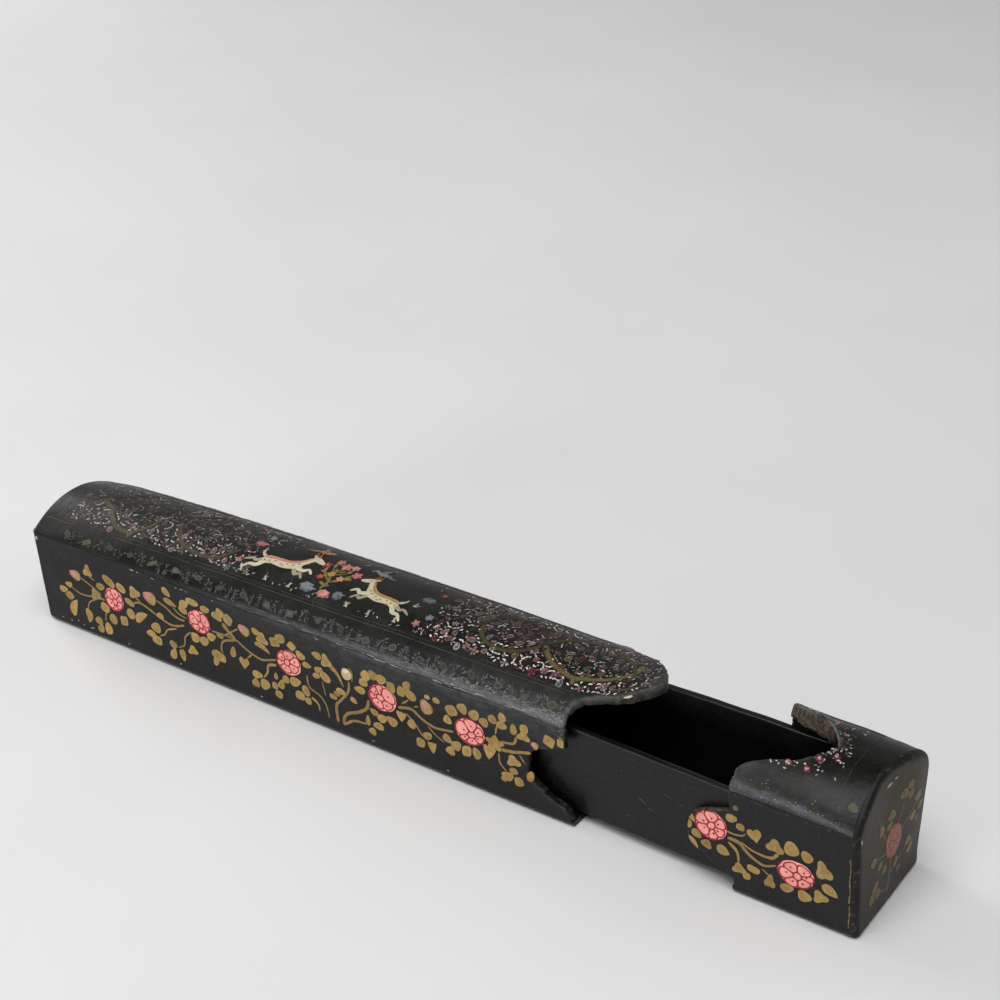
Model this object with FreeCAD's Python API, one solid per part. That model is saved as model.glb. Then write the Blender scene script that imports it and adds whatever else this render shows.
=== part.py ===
import FreeCAD, Part
import os, math
from FreeCAD import Vector as V

# ---------------------------------------------------------------------------
# Long pasteboard pen case: a sleeve with a low domed top, and a drawer with a
# matching cap that slides out of the sleeve's mouth.  Millimetres.
# +X runs along the case from the blind end to the cap, +Y across it, +Z up.
# The origin is the middle of the sleeve's underside.
# The drawer is drawn here as it lies part open.
# ---------------------------------------------------------------------------

# --- driving dimensions -----------------------------------------------------
SLEEVE_LEN = 216.0      # underside of the sleeve, blind end to mouth
HALF_W = 20.55          # half the outer width
SHOULDER_Z = 33.8       # top of the flat sides
DOME_RISE = 10.2        # crown above the shoulder
DOME_POWER = 2.2        # fullness of the arch
WALL = 2.0              # sleeve boards
DOME_THICK = 2.6        # top board at the crown
FLOOR_T = 2.0           # sleeve base board
END_T = 2.2             # end boards
END_LEAN = 3.1          # blind end: shoulder stands out this far past the foot
CAP_LEAN = 2.2          # cap end: shoulder stands in this far from the foot
EDGE_R = 1.4            # rounding of the long bottom edges

OPEN = 52.0             # how far the drawer is drawn out at rest
CAP_LEN = 39.0          # underside of the cap
SIDE_CLEAR = 0.35       # drawer side to sleeve wall
FLOOR_CLEAR = 0.3       # drawer underside to sleeve floor
SIDE_T = 2.2            # drawer sides and ends
TRAY_FLOOR_T = 2.0      # drawer floor
SIDE_TOP_Z = 32.1       # flat top of the drawer sides
BACK_CLEAR = 0.8        # drawer back to the blind end when shut
FRONT_SET = 22.0        # drawer front board, in from the cap's rim
SEAM = 0.35             # half the lengthways gap between the mating cut edges

# --- positions --------------------------------------------------------------
XL = -SLEEVE_LEN / 2.0              # foot of the blind end
XM = SLEEVE_LEN / 2.0               # foot of the mouth
XC = XM + OPEN                      # foot of the cap's rim
XE = XC + CAP_LEN                   # foot of the cap's end
DRAWER_HW = HALF_W - WALL - SIDE_CLEAR
TRAY_Z = FLOOR_T + FLOOR_CLEAR      # underside of the drawer
TRAY_TOP = TRAY_Z + TRAY_FLOOR_T    # upper face of the tray floor
CAP_WALL = HALF_W - DRAWER_HW       # cap boards lie on the drawer sides
TRAY_BACK = XL + END_T + BACK_CLEAR + OPEN
TRAY_FRONT = XC + FRONT_SET         # inner face of the front board
BIG = 400.0

# ogee of the top's cut edge: (distance from the middle, lengthways place
# measured from the foot of the mouth)
OGEE = [(0.0, 19.0), (1.3, 18.45), (3.5, 17.25), (6.0, 15.4), (8.2, 13.4),
        (9.9, 11.2), (11.2, 8.2), (12.3, 4.8), (13.9, 1.2), (15.6, -1.3),
        (17.2, -2.55), (18.9, -3.15), (20.6, -3.4), (23.0, -3.45)]
# bracket of the side's cut edge, from the ear's corner down to the foot:
# (lengthways place, height)
EAR = [(-3.4, SHOULDER_Z), (-3.1, 30.5), (-2.7, 27.3)]
BRACKET = [(-2.7, 27.3), (-7.2, 25.5), (-11.2, 24.0), (-13.8, 22.3),
           (-15.2, 19.8), (-15.5, 16.6), (-14.9, 13.4), (-12.9, 11.1),
           (-10.0, 9.6), (-7.6, 7.8), (-4.8, 6.9), (-2.2, 6.0), (-0.7, 4.5),
           (-0.1, 2.4), (0.0, 0.0)]


def spline(pts):
    c = Part.BSplineCurve()
    c.interpolate(pts)
    return c.toShape()


def line(a, b):
    return Part.LineSegment(a, b).toShape()


def box(x0, x1, y0, y1, z0, z1):
    return Part.makeBox(x1 - x0, y1 - y0, z1 - z0, V(x0, y0, z0))


def arch_points(hw, rise, n=32):
    pts = []
    for i in range(n + 1):
        a = math.pi - math.pi * i / n
        c = math.cos(a)
        y = hw * math.copysign(abs(c) ** (2.0 / DOME_POWER), c)
        if i in (0, n):
            y = math.copysign(hw, c)
        pts.append(V(0, y, SHOULDER_Z + rise * math.sin(a)))
    return pts


def dome_solid(inner_hw):
    """Bent board between two arches, standing on the shoulder plane."""
    out = arch_points(HALF_W, DOME_RISE)
    inn = arch_points(inner_hw, DOME_RISE - DOME_THICK)
    wire = Part.Wire([spline(out), line(out[-1], inn[-1]),
                      spline(list(reversed(inn))), line(inn[0], out[0])])
    s = Part.Face(wire).extrude(V(2 * BIG, 0, 0))
    s.translate(V(-BIG, 0, 0))
    return s


def full_section():
    """Whole outer cross-section with rounded bottom corners, as a long bar."""
    r = EDGE_R
    k = r * (1 - math.sqrt(0.5))
    out = arch_points(HALF_W, DOME_RISE)
    h = HALF_W
    edges = [
        spline(out),
        line(V(0, h, SHOULDER_Z), V(0, h, r)),
        Part.Arc(V(0, h, r), V(0, h - k, k), V(0, h - r, 0)).toShape(),
        line(V(0, h - r, 0), V(0, -h + r, 0)),
        Part.Arc(V(0, -h + r, 0), V(0, -h + k, k), V(0, -h, r)).toShape(),
        line(V(0, -h, r), V(0, -h, SHOULDER_Z)),
    ]
    s = Part.Face(Part.Wire(edges)).extrude(V(2 * BIG, 0, 0))
    s.translate(V(-BIG, 0, 0))
    return s


def leaning_slab(x_foot, lean, x_far):
    """Everything between the leaning plane x = x_foot + lean*z/shoulder and
    the upright plane x = x_far."""
    zt = 80.0
    xt = x_foot + lean * zt / SHOULDER_Z
    xb = x_foot - lean * 20.0 / SHOULDER_Z
    w = Part.makePolygon([V(xb, -60, -20), V(xt, -60, zt), V(x_far, -60, zt),
                          V(x_far, -60, -20), V(xb, -60, -20)])
    return Part.Face(w).extrude(V(0, 120, 0))


def ogee_prism(shift, side):
    """Plan-view prism left (-1) or right (+1) of the ogee cut."""
    half = [(x + XM + shift, y) for y, x in OGEE]
    up = [V(x, y, 0) for x, y in half]
    dn = [V(x, -y, 0) for x, y in half]
    xf = -BIG if side < 0 else BIG
    a, b = up[-1], dn[-1]
    a2, b2 = V(a.x, 30, 0), V(b.x, -30, 0)
    wire = Part.Wire([spline(list(reversed(dn))), spline(up), line(a, a2),
                      line(a2, V(xf, 30, 0)), line(V(xf, 30, 0), V(xf, -30, 0)),
                      line(V(xf, -30, 0), b2), line(b2, b)])
    s = Part.Face(wire).extrude(V(0, 0, 80))
    s.translate(V(0, 0, SHOULDER_Z - 10))
    return s


def bracket_prism(shift, side):
    """Side-view prism left (-1) or right (+1) of the bracket cut."""
    ear = [V(x + XM + shift, 0, z) for x, z in EAR]
    brk = [V(x + XM + shift, 0, z) for x, z in BRACKET]
    xf = -BIG if side < 0 else BIG
    top = V(ear[0].x, 0, SHOULDER_Z + 5)
    bot = V(brk[-1].x, 0, -5)
    wire = Part.Wire([line(top, ear[0]), spline(ear), spline(brk),
                      line(brk[-1], bot), line(bot, V(xf, 0, -5)),
                      line(V(xf, 0, -5), V(xf, 0, SHOULDER_Z + 5)),
                      line(V(xf, 0, SHOULDER_Z + 5), top)])
    s = Part.Face(wire).extrude(V(0, 120, 0))
    s.translate(V(0, -60, 0))
    return s


def round_edges(shape, radius, pick):
    edges = [e for e in shape.Edges if pick(e)]
    return shape.makeFillet(radius, edges) if edges else shape


def long_bottom_edge(e):
    b = e.BoundBox
    return b.ZMax < 0.01 and b.YLength < 0.01 and abs(abs(b.YMax) - HALF_W) < 0.01


parts = {}

# --- sleeve -----------------------------------------------------------------
inside_blind = leaning_slab(XL + END_T, -END_LEAN, BIG)   # right of the end board

floor = box(-BIG, XM - SEAM, -HALF_W, HALF_W, 0, FLOOR_T).common(inside_blind)
parts["sleeve_floor"] = round_edges(floor, EDGE_R, long_bottom_edge)

cut = bracket_prism(-SEAM, -1)
for name, y0 in (("sleeve_near_wall", -HALF_W), ("sleeve_far_wall", HALF_W - WALL)):
    w = box(-BIG, BIG, y0, y0 + WALL, FLOOR_T, SHOULDER_Z)
    parts[name] = w.common(inside_blind).common(cut)

parts["sleeve_domed_top"] = (dome_solid(HALF_W - WALL).common(inside_blind)
                             .common(ogee_prism(-SEAM, -1)))

blind = full_section().common(leaning_slab(XL, -END_LEAN, BIG)).cut(inside_blind)
parts["sleeve_end_board"] = blind

# --- drawer -----------------------------------------------------------------
parts["drawer_floor"] = box(TRAY_BACK, TRAY_FRONT + SIDE_T, -DRAWER_HW + SIDE_T,
                            DRAWER_HW - SIDE_T, TRAY_Z, TRAY_TOP)
for name, y0 in (("drawer_near_side", -DRAWER_HW), ("drawer_far_side", DRAWER_HW - SIDE_T)):
    s = box(TRAY_BACK, TRAY_FRONT + SIDE_T, y0, y0 + SIDE_T, TRAY_Z, SIDE_TOP_Z)
    parts[name] = round_edges(s, 0.5, lambda e: e.BoundBox.ZMin > SIDE_TOP_Z - 0.01
                              and e.BoundBox.XLength > 10)
parts["drawer_back_board"] = box(TRAY_BACK, TRAY_BACK + SIDE_T, -DRAWER_HW + SIDE_T,
                                 DRAWER_HW - SIDE_T, TRAY_TOP, SIDE_TOP_Z)
parts["drawer_front_board"] = box(TRAY_FRONT, TRAY_FRONT + SIDE_T, -DRAWER_HW + SIDE_T,
                                  DRAWER_HW - SIDE_T, TRAY_TOP, SIDE_TOP_Z)

# --- cap --------------------------------------------------------------------
beyond_end = leaning_slab(XE - END_T, -CAP_LEAN, BIG)     # right of the end board's back

cfloor = box(XC + SEAM, BIG, -HALF_W, HALF_W, 0, TRAY_Z).cut(beyond_end)
parts["cap_floor"] = round_edges(cfloor, EDGE_R, long_bottom_edge)

cut = bracket_prism(OPEN + SEAM, +1)
for name, y0 in (("cap_near_wall", -HALF_W), ("cap_far_wall", HALF_W - CAP_WALL)):
    w = box(-BIG, BIG, y0, y0 + CAP_WALL, TRAY_Z, SHOULDER_Z)
    parts[name] = w.common(cut).cut(beyond_end)

parts["cap_domed_top"] = (dome_solid(HALF_W - CAP_WALL)
                          .common(ogee_prism(OPEN + SEAM, +1)).cut(beyond_end))

end = full_section().common(beyond_end).cut(leaning_slab(XE, -CAP_LEAN, BIG))
parts["cap_end_board"] = end

# --- write ------------------------------------------------------------------
os.makedirs("parts", exist_ok=True)
for name, shape in parts.items():
    solids = shape.Solids
    assert len(solids) == 1 and shape.isValid(), (name, len(solids), shape.isValid())
    solids[0].exportStep("parts/%s.step" % name)
    b = solids[0].BoundBox
    print("%-20s vol %9.1f  x %7.2f..%7.2f  y %6.2f..%6.2f  z %5.2f..%5.2f" % (
        name, solids[0].Volume, b.XMin, b.XMax, b.YMin, b.YMax, b.ZMin, b.ZMax))
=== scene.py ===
import bpy, bmesh, math, random
import numpy as np
from mathutils import Vector, Matrix
from mathutils.geometry import delaunay_2d_cdt


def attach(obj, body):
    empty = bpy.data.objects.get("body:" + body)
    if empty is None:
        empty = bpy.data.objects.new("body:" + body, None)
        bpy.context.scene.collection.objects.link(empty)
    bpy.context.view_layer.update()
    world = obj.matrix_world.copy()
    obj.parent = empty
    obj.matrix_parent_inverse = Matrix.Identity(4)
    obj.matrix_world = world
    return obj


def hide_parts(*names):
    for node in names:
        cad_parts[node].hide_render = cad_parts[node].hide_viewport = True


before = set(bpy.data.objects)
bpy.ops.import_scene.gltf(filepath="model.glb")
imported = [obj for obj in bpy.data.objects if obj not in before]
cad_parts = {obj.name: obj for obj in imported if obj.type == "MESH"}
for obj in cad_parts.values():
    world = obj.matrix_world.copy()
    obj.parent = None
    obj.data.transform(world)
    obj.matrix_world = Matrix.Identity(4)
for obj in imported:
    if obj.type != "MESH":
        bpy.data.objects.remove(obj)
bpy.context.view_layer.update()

# ---------------------------------------------------------------------------
# Lacquered pasteboard pen case.  Geometry is worked in millimetres in the
# case's own frame and turned into metres when a mesh is made.
# ---------------------------------------------------------------------------
SLEEVE_LEN = 216.0
HALF_W = 20.55
SHOULDER_Z = 33.8
DOME_RISE = 10.2
DOME_POWER = 2.2
WALL = 2.0
DOME_THICK = 2.6
FLOOR_T = 2.0
END_T = 2.2
END_LEAN = 3.1
CAP_LEAN = 2.2
OPEN = 52.0
CAP_LEN = 39.0
SIDE_CLEAR = 0.35
FLOOR_CLEAR = 0.3
SIDE_T = 2.2
TRAY_FLOOR_T = 2.0
SIDE_TOP_Z = 32.1
BACK_CLEAR = 0.8
FRONT_SET = 22.0
SEAM = 0.35

XL = -SLEEVE_LEN / 2.0
XM = SLEEVE_LEN / 2.0
XC = XM + OPEN
XE = XC + CAP_LEN
DRAWER_HW = HALF_W - WALL - SIDE_CLEAR
TRAY_Z = FLOOR_T + FLOOR_CLEAR
TRAY_TOP = TRAY_Z + TRAY_FLOOR_T
CAP_WALL = HALF_W - DRAWER_HW
TRAY_BACK = XL + END_T + BACK_CLEAR + OPEN
TRAY_FRONT = XC + FRONT_SET

OGEE = [(0.0, 19.0), (1.3, 18.45), (3.5, 17.25), (6.0, 15.4), (8.2, 13.4),
        (9.9, 11.2), (11.2, 8.2), (12.3, 4.8), (13.9, 1.2), (15.6, -1.3),
        (17.2, -2.55), (18.9, -3.15), (20.6, -3.4), (23.0, -3.45)]
BRACKET = [(-2.7, 27.3), (-7.2, 25.5), (-11.2, 24.0), (-13.8, 22.3),
           (-15.2, 19.8), (-15.5, 16.6), (-14.9, 13.4), (-12.9, 11.1),
           (-10.0, 9.6), (-7.6, 7.8), (-4.8, 6.9), (-2.2, 6.0), (-0.7, 4.5),
           (-0.1, 2.4), (0.0, 0.0)]


def mono(xs, ys):
    """Smooth curve through points, with no overshoot."""
    xs, ys = np.array(xs, float), np.array(ys, float)
    h = np.diff(xs)
    d = np.diff(ys) / h
    m = np.zeros(len(xs))
    m[0], m[-1] = d[0], d[-1]
    for i in range(1, len(xs) - 1):
        if d[i - 1] * d[i] > 0:
            w1, w2 = 2 * h[i] + h[i - 1], h[i] + 2 * h[i - 1]
            m[i] = (w1 + w2) / (w1 / d[i - 1] + w2 / d[i])

    def f(x):
        x = np.clip(np.asarray(x, float), xs[0], xs[-1])
        i = np.clip(np.searchsorted(xs, x) - 1, 0, len(h) - 1)
        t = (x - xs[i]) / h[i]
        return ((2 * t**3 - 3 * t**2 + 1) * ys[i] + (t**3 - 2 * t**2 + t) * h[i] * m[i]
                + (3 * t**2 - 2 * t**3) * ys[i + 1] + (t**3 - t**2) * h[i] * m[i + 1])
    return f


_og = mono([p[0] for p in OGEE], [p[1] for p in OGEE])
_br = mono([p[1] for p in reversed(BRACKET)], [p[0] for p in reversed(BRACKET)])
_ear = mono([27.3, 30.5, 33.8, 40.0], [-2.7, -3.1, -3.4, -3.45])


def ogee(y):
    return _og(np.abs(y))


def bracket(z):
    return np.where(np.asarray(z) > 27.3, _ear(z), _br(z))


# --- the arch ----------------------------------------------------------------
_PH = np.linspace(math.pi, 0, 4001)


def arch(ph, hw, rise):
    c = np.cos(ph)
    return hw * np.sign(c) * np.abs(c) ** (2 / DOME_POWER), SHOULDER_Z + rise * np.sin(ph)


_AY, _AZ = arch(_PH, HALF_W, DOME_RISE)
_AS = np.concatenate([[0], np.cumsum(np.hypot(np.diff(_AY), np.diff(_AZ)))])
ARC = float(_AS[-1])                       # 50 mm from shoulder to shoulder
_ty, _tz = np.gradient(_AY, _AS), np.gradient(_AZ, _AS)
_NY, _NZ = -_tz, _ty                       # outward: up and away from the middle
_NY, _NZ = np.where(_NZ < 0, -_NY, _NY), np.abs(_NZ)


def soft_noise(a, b, k=0.0):
    """Low waves of a hand-made surface, about -1 to 1."""
    return (0.45 * np.sin(a * 0.071 + 1.3 + k) * np.cos(b * 0.11 + 0.4 * k)
            + 0.30 * np.sin(a * 0.153 + b * 0.21 + 2.1 * k + 0.6)
            + 0.25 * np.sin(a * 0.31 - b * 0.17 + 1.7 * k))


def curl(x):
    """The thin tongue at the mouth lifts a little."""
    t = np.clip((x - (XM - 8.0)) / 26.0, 0, 1.2)
    return np.where(x < XC - 12.0, 1.7 * t * t, 0.0)


def dome_frame(s):
    s = np.clip(s, 0, ARC)
    return (np.interp(s, _AS, _AY), np.interp(s, _AS, _AZ),
            np.interp(s, _AS, _NY), np.interp(s, _AS, _NZ))


_SAG = mono([-113, -96, -78, -50, -20, 20, 60, 110, 160, 200], [-3.2, -2.0, -1.1, -0.5, 0.0, 0.6, 1.1, 1.2, 1.3, 1.3])
_LOW_NEAR = mono([-113, -80, -40, 0, 60, 110, 175, 188, 199], [0.95, 0.70, 0.45, 0.30, 0.10, 0.0, 0.10, 0.45, 0.85])
_LOW_FAR = mono([-113, -107, -101, -95, -88, -80, -70, -40, 0, 60, 110, 160, 180, 190, 199], [0.95, 0.70, 0.38, 0.19, 0.08, 0.0, -0.08, -0.30, -0.40, -0.36, -0.25, -0.42, -0.38, -0.20, -0.05])


def arch_height(x, y, z):
    """The top is not the same all along: it sinks towards the blind end, where its haunches are lower too."""
    t = np.clip((y + 7) / 14, 0, 1)
    t = t * t * (3 - 2 * t)
    low = _LOW_NEAR(x) + (_LOW_FAR(x) - _LOW_NEAR(x)) * t
    par = DOME_RISE * (1 - np.minimum(np.abs(y) / HALF_W, 1) ** 1.9)
    h = (z - SHOULDER_Z) * (1 - low) + par * low
    return SHOULDER_Z + h * (1 + _SAG(x) / DOME_RISE)


def shoulder_wave(x):
    return 0.20 * np.sin(x * 0.083 + 0.7) + 0.12 * np.sin(x * 0.21 + 2.0) + 0.07 * np.sin(x * 0.47 + 1.1)


def to_cut(x, e):
    """Distance from the hand-cut mouth edge, on the sleeve or on the cap."""
    return np.where(x < 140.0, XM - SEAM + e - x, x - XC - SEAM - e)


def dome_at(x, s, off=0.0):
    x, s = np.broadcast_arrays(np.asarray(x, float), np.asarray(s, float))
    y, z, ny, nz = dome_frame(s)
    z = arch_height(x, y, z)
    fade = np.clip(np.minimum(s, ARC - s) / 3.0, 0, 1)
    o = off + 0.14 * soft_noise(x, s * 1.7, 0.5) * fade
    o = o + (0.24 + 0.42 * soft_noise(s * 6.0, x * 5.0, 2.2)) * np.exp(-np.clip(to_cut(x, ogee(y)), 0, None) / 1.9) * fade
    o = o + 0.6 * np.exp(-np.clip(to_cut(x, ogee(y)), 0, None) / 6.0) * np.exp(-((s - 36.0) / 7.0) ** 2) * (x > 140.0)
    low = shoulder_wave(x + 40.0 * (y > 0)) * np.exp(-np.minimum(s, ARC - s) / 2.5)
    return np.stack([x, y + ny * o, z + nz * o + curl(x) + low], -1)


def near_at(x, z, off=0.0):
    x, z = np.broadcast_arrays(np.asarray(x, float), np.asarray(z, float))
    fade = np.clip(np.minimum(z - 2.0, 33.8 - z) / 4.0, 0, 1)
    o = off + 0.12 * soft_noise(x, z * 1.5, 1.9) * fade
    d = np.clip(to_cut(x, bracket(z)), 0, None)
    o = o + (0.20 * soft_noise(x * 6.0, z * 8.0, 0.9) * np.exp(-d / 1.5) + 0.55 * np.exp(-d / 2.6) * (x < 140.0)) * fade
    return np.stack([x, -HALF_W - o, z + shoulder_wave(x) * np.clip((z - 29.0) / 4.8, 0, 1)], -1)


def far_at(x, z, off=0.0):
    x, z = np.broadcast_arrays(np.asarray(x, float), np.asarray(z, float))
    fade = np.clip(np.minimum(z - 2.0, 33.8 - z) / 4.0, 0, 1)
    o = off + 0.12 * soft_noise(x, z * 1.5, 4.2) * fade
    return np.stack([x, HALF_W + o, z + shoulder_wave(x + 40.0) * np.clip((z - 29.0) / 4.8, 0, 1)], -1)


def pillow(y, z):
    return (0.35 * np.clip(1 - (y / 19.0) ** 2, 0, 1) * np.clip(1 - ((z - 20.0) / 20.0) ** 2, 0, 1)
            + 0.08 * soft_noise(y * 2.0, z * 2.0, 3.3))


def twist(y, z):
    """The cap's end is out of true: its far upper corner stands a little proud."""
    u = np.clip((np.asarray(y, float) + 6.0) / 22.0, 0, 1)
    v = np.clip((np.asarray(z, float) - 5.0) / 34.0, 0, 1)
    return 3.0 * u * u * (3 - 2 * u) * v


def cap_end_at(y, z, off=0.0):
    y, z = np.broadcast_arrays(np.asarray(y, float), np.asarray(z, float))
    return np.stack([XE - CAP_LEAN * z / SHOULDER_Z + twist(y, z) + pillow(y, z) - 0.3 + off, y, z], -1)


def blind_end_at(y, z, off=0.0):
    y, z = np.broadcast_arrays(np.asarray(y, float), np.asarray(z, float))
    return np.stack([XL - END_LEAN * z / SHOULDER_Z - pillow(y, z) + 0.3 - off, y, z], -1)


# --- mesh making ---------------------------------------------------------------
def to_object(name, verts, faces, mat, body, replaces=(), attrs=None, sharp=38):
    me = bpy.data.meshes.new(name)
    me.from_pydata([tuple(v) for v in np.asarray(verts, float) * 0.001], [], faces)
    me.update()
    bm = bmesh.new()
    bm.from_mesh(me)
    bmesh.ops.recalc_face_normals(bm, faces=bm.faces)
    bm.to_mesh(me)
    bm.free()
    for key, vals in (attrs or {}).items():
        a = me.attributes.new(key, "FLOAT", "POINT")
        a.data.foreach_set("value", np.asarray(vals, np.float32))
    me.polygons.foreach_set("use_smooth", [True] * len(me.polygons))
    if sharp:
        me.set_sharp_from_angle(angle=math.radians(sharp))
    o = bpy.data.objects.new(name, me)
    bpy.context.scene.collection.objects.link(o)
    o.data.materials.append(mat)
    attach(o, body)
    if replaces:
        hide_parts(*replaces)
    return o


def row_set(ts, r0, r1):
    """Rows with the first and last edges rounded on the outer face: (t, outer depth, edge nearness)."""
    t0, t1 = ts[0], ts[-1]
    out = []
    for a in (0, 30, 60):
        c = math.radians(a)
        out.append((t0 + r0 * (1 - math.cos(c)), r0 * (1 - math.sin(c))))
    out += [(t, 0.0) for t in ts if t0 + r0 * 0.999 <= t <= t1 - r1 * 0.999]
    for a in (60, 30, 0):
        c = math.radians(a)
        out.append((t1 - r1 * (1 - math.cos(c)), r1 * (1 - math.sin(c))))
    return out


def shell(name, rows, base, mouth, outer, inner, ncol, r, mat, body, node, nibble=0.0, rub=None, wear=(0.7, 0.7), lip_rub=0.0, cut=0.8, more=None):
    """Closed bent board.  Each row runs from the butted base edge to the cut,
    rounded mouth edge and back along the inner face."""
    V, E, U, rings = [], [], [], []
    ts = [q[0] for q in rows]
    for t, wo in rows:
        a, b = float(base(t)), float(mouth(t))
        if nibble:
            b += nibble * math.copysign(1, a - b) * (abs(soft_noise(t * 9.0, t * 5.0, 0.7)) + 0.5 * math.sin(t * 2.3) ** 2)
        g = 1.0 if b > a else -1.0
        rr = r(t) if callable(r) else r
        ri = rr * 0.7
        u = 1 - (1 - np.linspace(0, 1, ncol)) ** 1.5
        ui = np.linspace(0, 1, ncol) ** 1.5
        th = np.radians([25, 50, 70, 90])
        ti = np.radians([0, 40, 90])
        T = float(np.linalg.norm(np.ravel(inner(b, t) - outer(b, t))))
        X = np.concatenate([a + (b - g * rr - a) * u, b - g * rr + g * rr * np.sin(th),
                            b - g * ri + g * ri * np.cos(ti), b - g * ri + (a - b + g * ri) * ui])
        Wd = np.concatenate([np.full(ncol, wo), np.minimum(wo + rr * (1 - np.cos(th)), T - ri),
                             T - ri + ri * np.sin(ti), np.full(ncol, T)])
        Po, Pi = outer(X, np.full(len(X), t)), inner(X, np.full(len(X), t))
        P = Po + (Pi - Po) * (Wd / T)[:, None]
        d_mouth = np.abs(b - X)
        d_row = max(wear[0] * math.exp(-abs(t - ts[0]) / 0.6), wear[1] * math.exp(-abs(t - ts[-1]) / 0.6))
        e = np.maximum(0.5 * np.exp(-d_mouth / 0.7), d_row)
        e = np.maximum(e, (cut(t) if callable(cut) else cut) * np.exp(-np.maximum(0, d_mouth - 0.1) / 0.5) * (Wd < T - 0.05))
        if more:
            e = np.maximum(e, more(X, t) * np.where(Wd < 0.9 * T, 1.0, np.exp(-d_mouth / 6.0)))
        rings.append(len(V))
        V.extend(P)
        E.extend(e)
        # rub attribute: rubbed wear together with painted highlight and sheen, laid out by the function given
        U.extend(np.where(Wd < 0.8, (rub(X, t) if rub else 0.0) + lip_rub * np.exp(-d_mouth / 1.1), 0.0))
    n = len(X)
    F = []
    for k in range(len(rows) - 1):
        p, q = rings[k], rings[k + 1]
        for j in range(n):
            j2 = (j + 1) % n
            F.append((p + j, p + j2, q + j2, q + j))
    for k in (0, len(rows) - 1):
        p = rings[k]
        for j in range(ncol - 1):
            F.append((p + j, p + j + 1, p + n - 2 - j, p + n - 1 - j))
        F.append(tuple(range(p + ncol - 1, p + n - ncol + 1)))
    return to_object(name, V, F, mat, body, (node,), {"edge": E, "rub": U})


def section_loop(r, xe):
    """Outer cross-section, anticlockwise seen from +X, from the near shoulder down and round."""
    pts = [(-HALF_W, z) for z in np.linspace(SHOULDER_Z, r, 16)]
    pts += [(-HALF_W + r * (1 - math.cos(a)), r * (1 - math.sin(a))) for a in np.radians([15, 30, 45, 60, 75, 90])]
    pts += [(y, 0.0) for y in np.linspace(-HALF_W + r, HALF_W - r, 18)[1:]]
    pts += [(HALF_W - r * (1 - math.sin(a)), r * (1 - math.cos(a))) for a in np.radians([15, 30, 45, 60, 75, 90])]
    pts += [(HALF_W, z) for z in np.linspace(r, SHOULDER_Z, 16)[1:]]
    ss = ARC - ARC * (0.5 - 0.5 * np.cos(np.linspace(0, math.pi, 56)))[1:-1]
    y, z, _, _ = dome_frame(ss)
    pts += list(zip(y, arch_height(np.full(len(y), xe), y, z)))
    return np.array(pts)


def inset(loop, d):
    a, b = np.roll(loop, 1, 0), np.roll(loop, -1, 0)
    t = b - a
    t /= np.linalg.norm(t, axis=1)[:, None]
    n = np.stack([-t[:, 1], t[:, 0]], 1)
    return loop + n * d


def fill(loop, step):
    """Triangles inside a loop with extra points, so that it can follow a curved face."""
    lo, hi = loop.min(0), loop.max(0)
    pts = [Vector(p) for p in loop]
    n = len(pts)
    ex = []
    gx, gy = np.arange(lo[0] + step / 2, hi[0], step), np.arange(lo[1] + step / 2, hi[1], step)
    poly = loop
    for i, x in enumerate(gx):
        for y in gy + (step / 2 if i % 2 else 0):
            inside = False
            j = n - 1
            for k in range(n):
                if (poly[k, 1] > y) != (poly[j, 1] > y) and x < (poly[j, 0] - poly[k, 0]) * (y - poly[k, 1]) / (poly[j, 1] - poly[k, 1]) + poly[k, 0]:
                    inside = not inside
                j = k
            if inside and np.min(np.hypot(poly[:, 0] - x, poly[:, 1] - y)) > step * 0.45:
                ex.append(Vector((x, y)))
    v, e, f, *_ = delaunay_2d_cdt(pts + ex, [(i, (i + 1) % n) for i in range(n)], [], 1, 1e-6)
    return np.array([(p.x, p.y) for p in v]), [tuple(t) for t in f]


def end_board(name, face_at, back_x, xe, r, mat, body, node):
    loop = section_loop(1.9, xe)
    V, E, F = [], [], []
    m = len(loop)
    layers = []
    for a in (90, 68, 45, 22, 0):
        c = math.radians(a)
        d, w = r * (1 - math.cos(c)), r * (1 - math.sin(c))
        layers.append((d, w))
    # from the flat face outwards: inset r at depth 0, to no inset at depth r
    order = sorted(layers, key=lambda q: -q[0])
    rings = []
    for d, w in order:
        q = inset(loop, d)
        rings.append(len(V))
        V.extend(face_at(q[:, 0], q[:, 1], -w))
        E.extend([1.0 if d < r * 0.95 else 0.62] * m)
    rings.append(len(V))
    bx = back_x(loop[:, 0], loop[:, 1])
    V.extend(np.stack([bx, loop[:, 0], loop[:, 1]], 1))
    E.extend([1.0] * m)
    for k in range(len(rings) - 1):
        p, q = rings[k], rings[k + 1]
        F += [(p + j, p + (j + 1) % m, q + (j + 1) % m, q + j) for j in range(m)]
    q = inset(loop, order[0][0])
    fv, ff = fill(q, 2.6)
    idx = []
    for i, p in enumerate(fv):
        if i < m:
            idx.append(rings[0] + i)
        else:
            idx.append(len(V))
            V.append(face_at(p[0], p[1], 0.0))
            dist = np.min(np.hypot(q[:, 0] - p[0], q[:, 1] - p[1]))
            E.append(math.exp(-dist / 0.9))
    F += [tuple(idx[i] for i in t) for t in ff]
    F.append(tuple(rings[-1] + j for j in range(m)))
    return to_object(name, V, F, mat, body, (node,), {"edge": E}, sharp=50)


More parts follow.
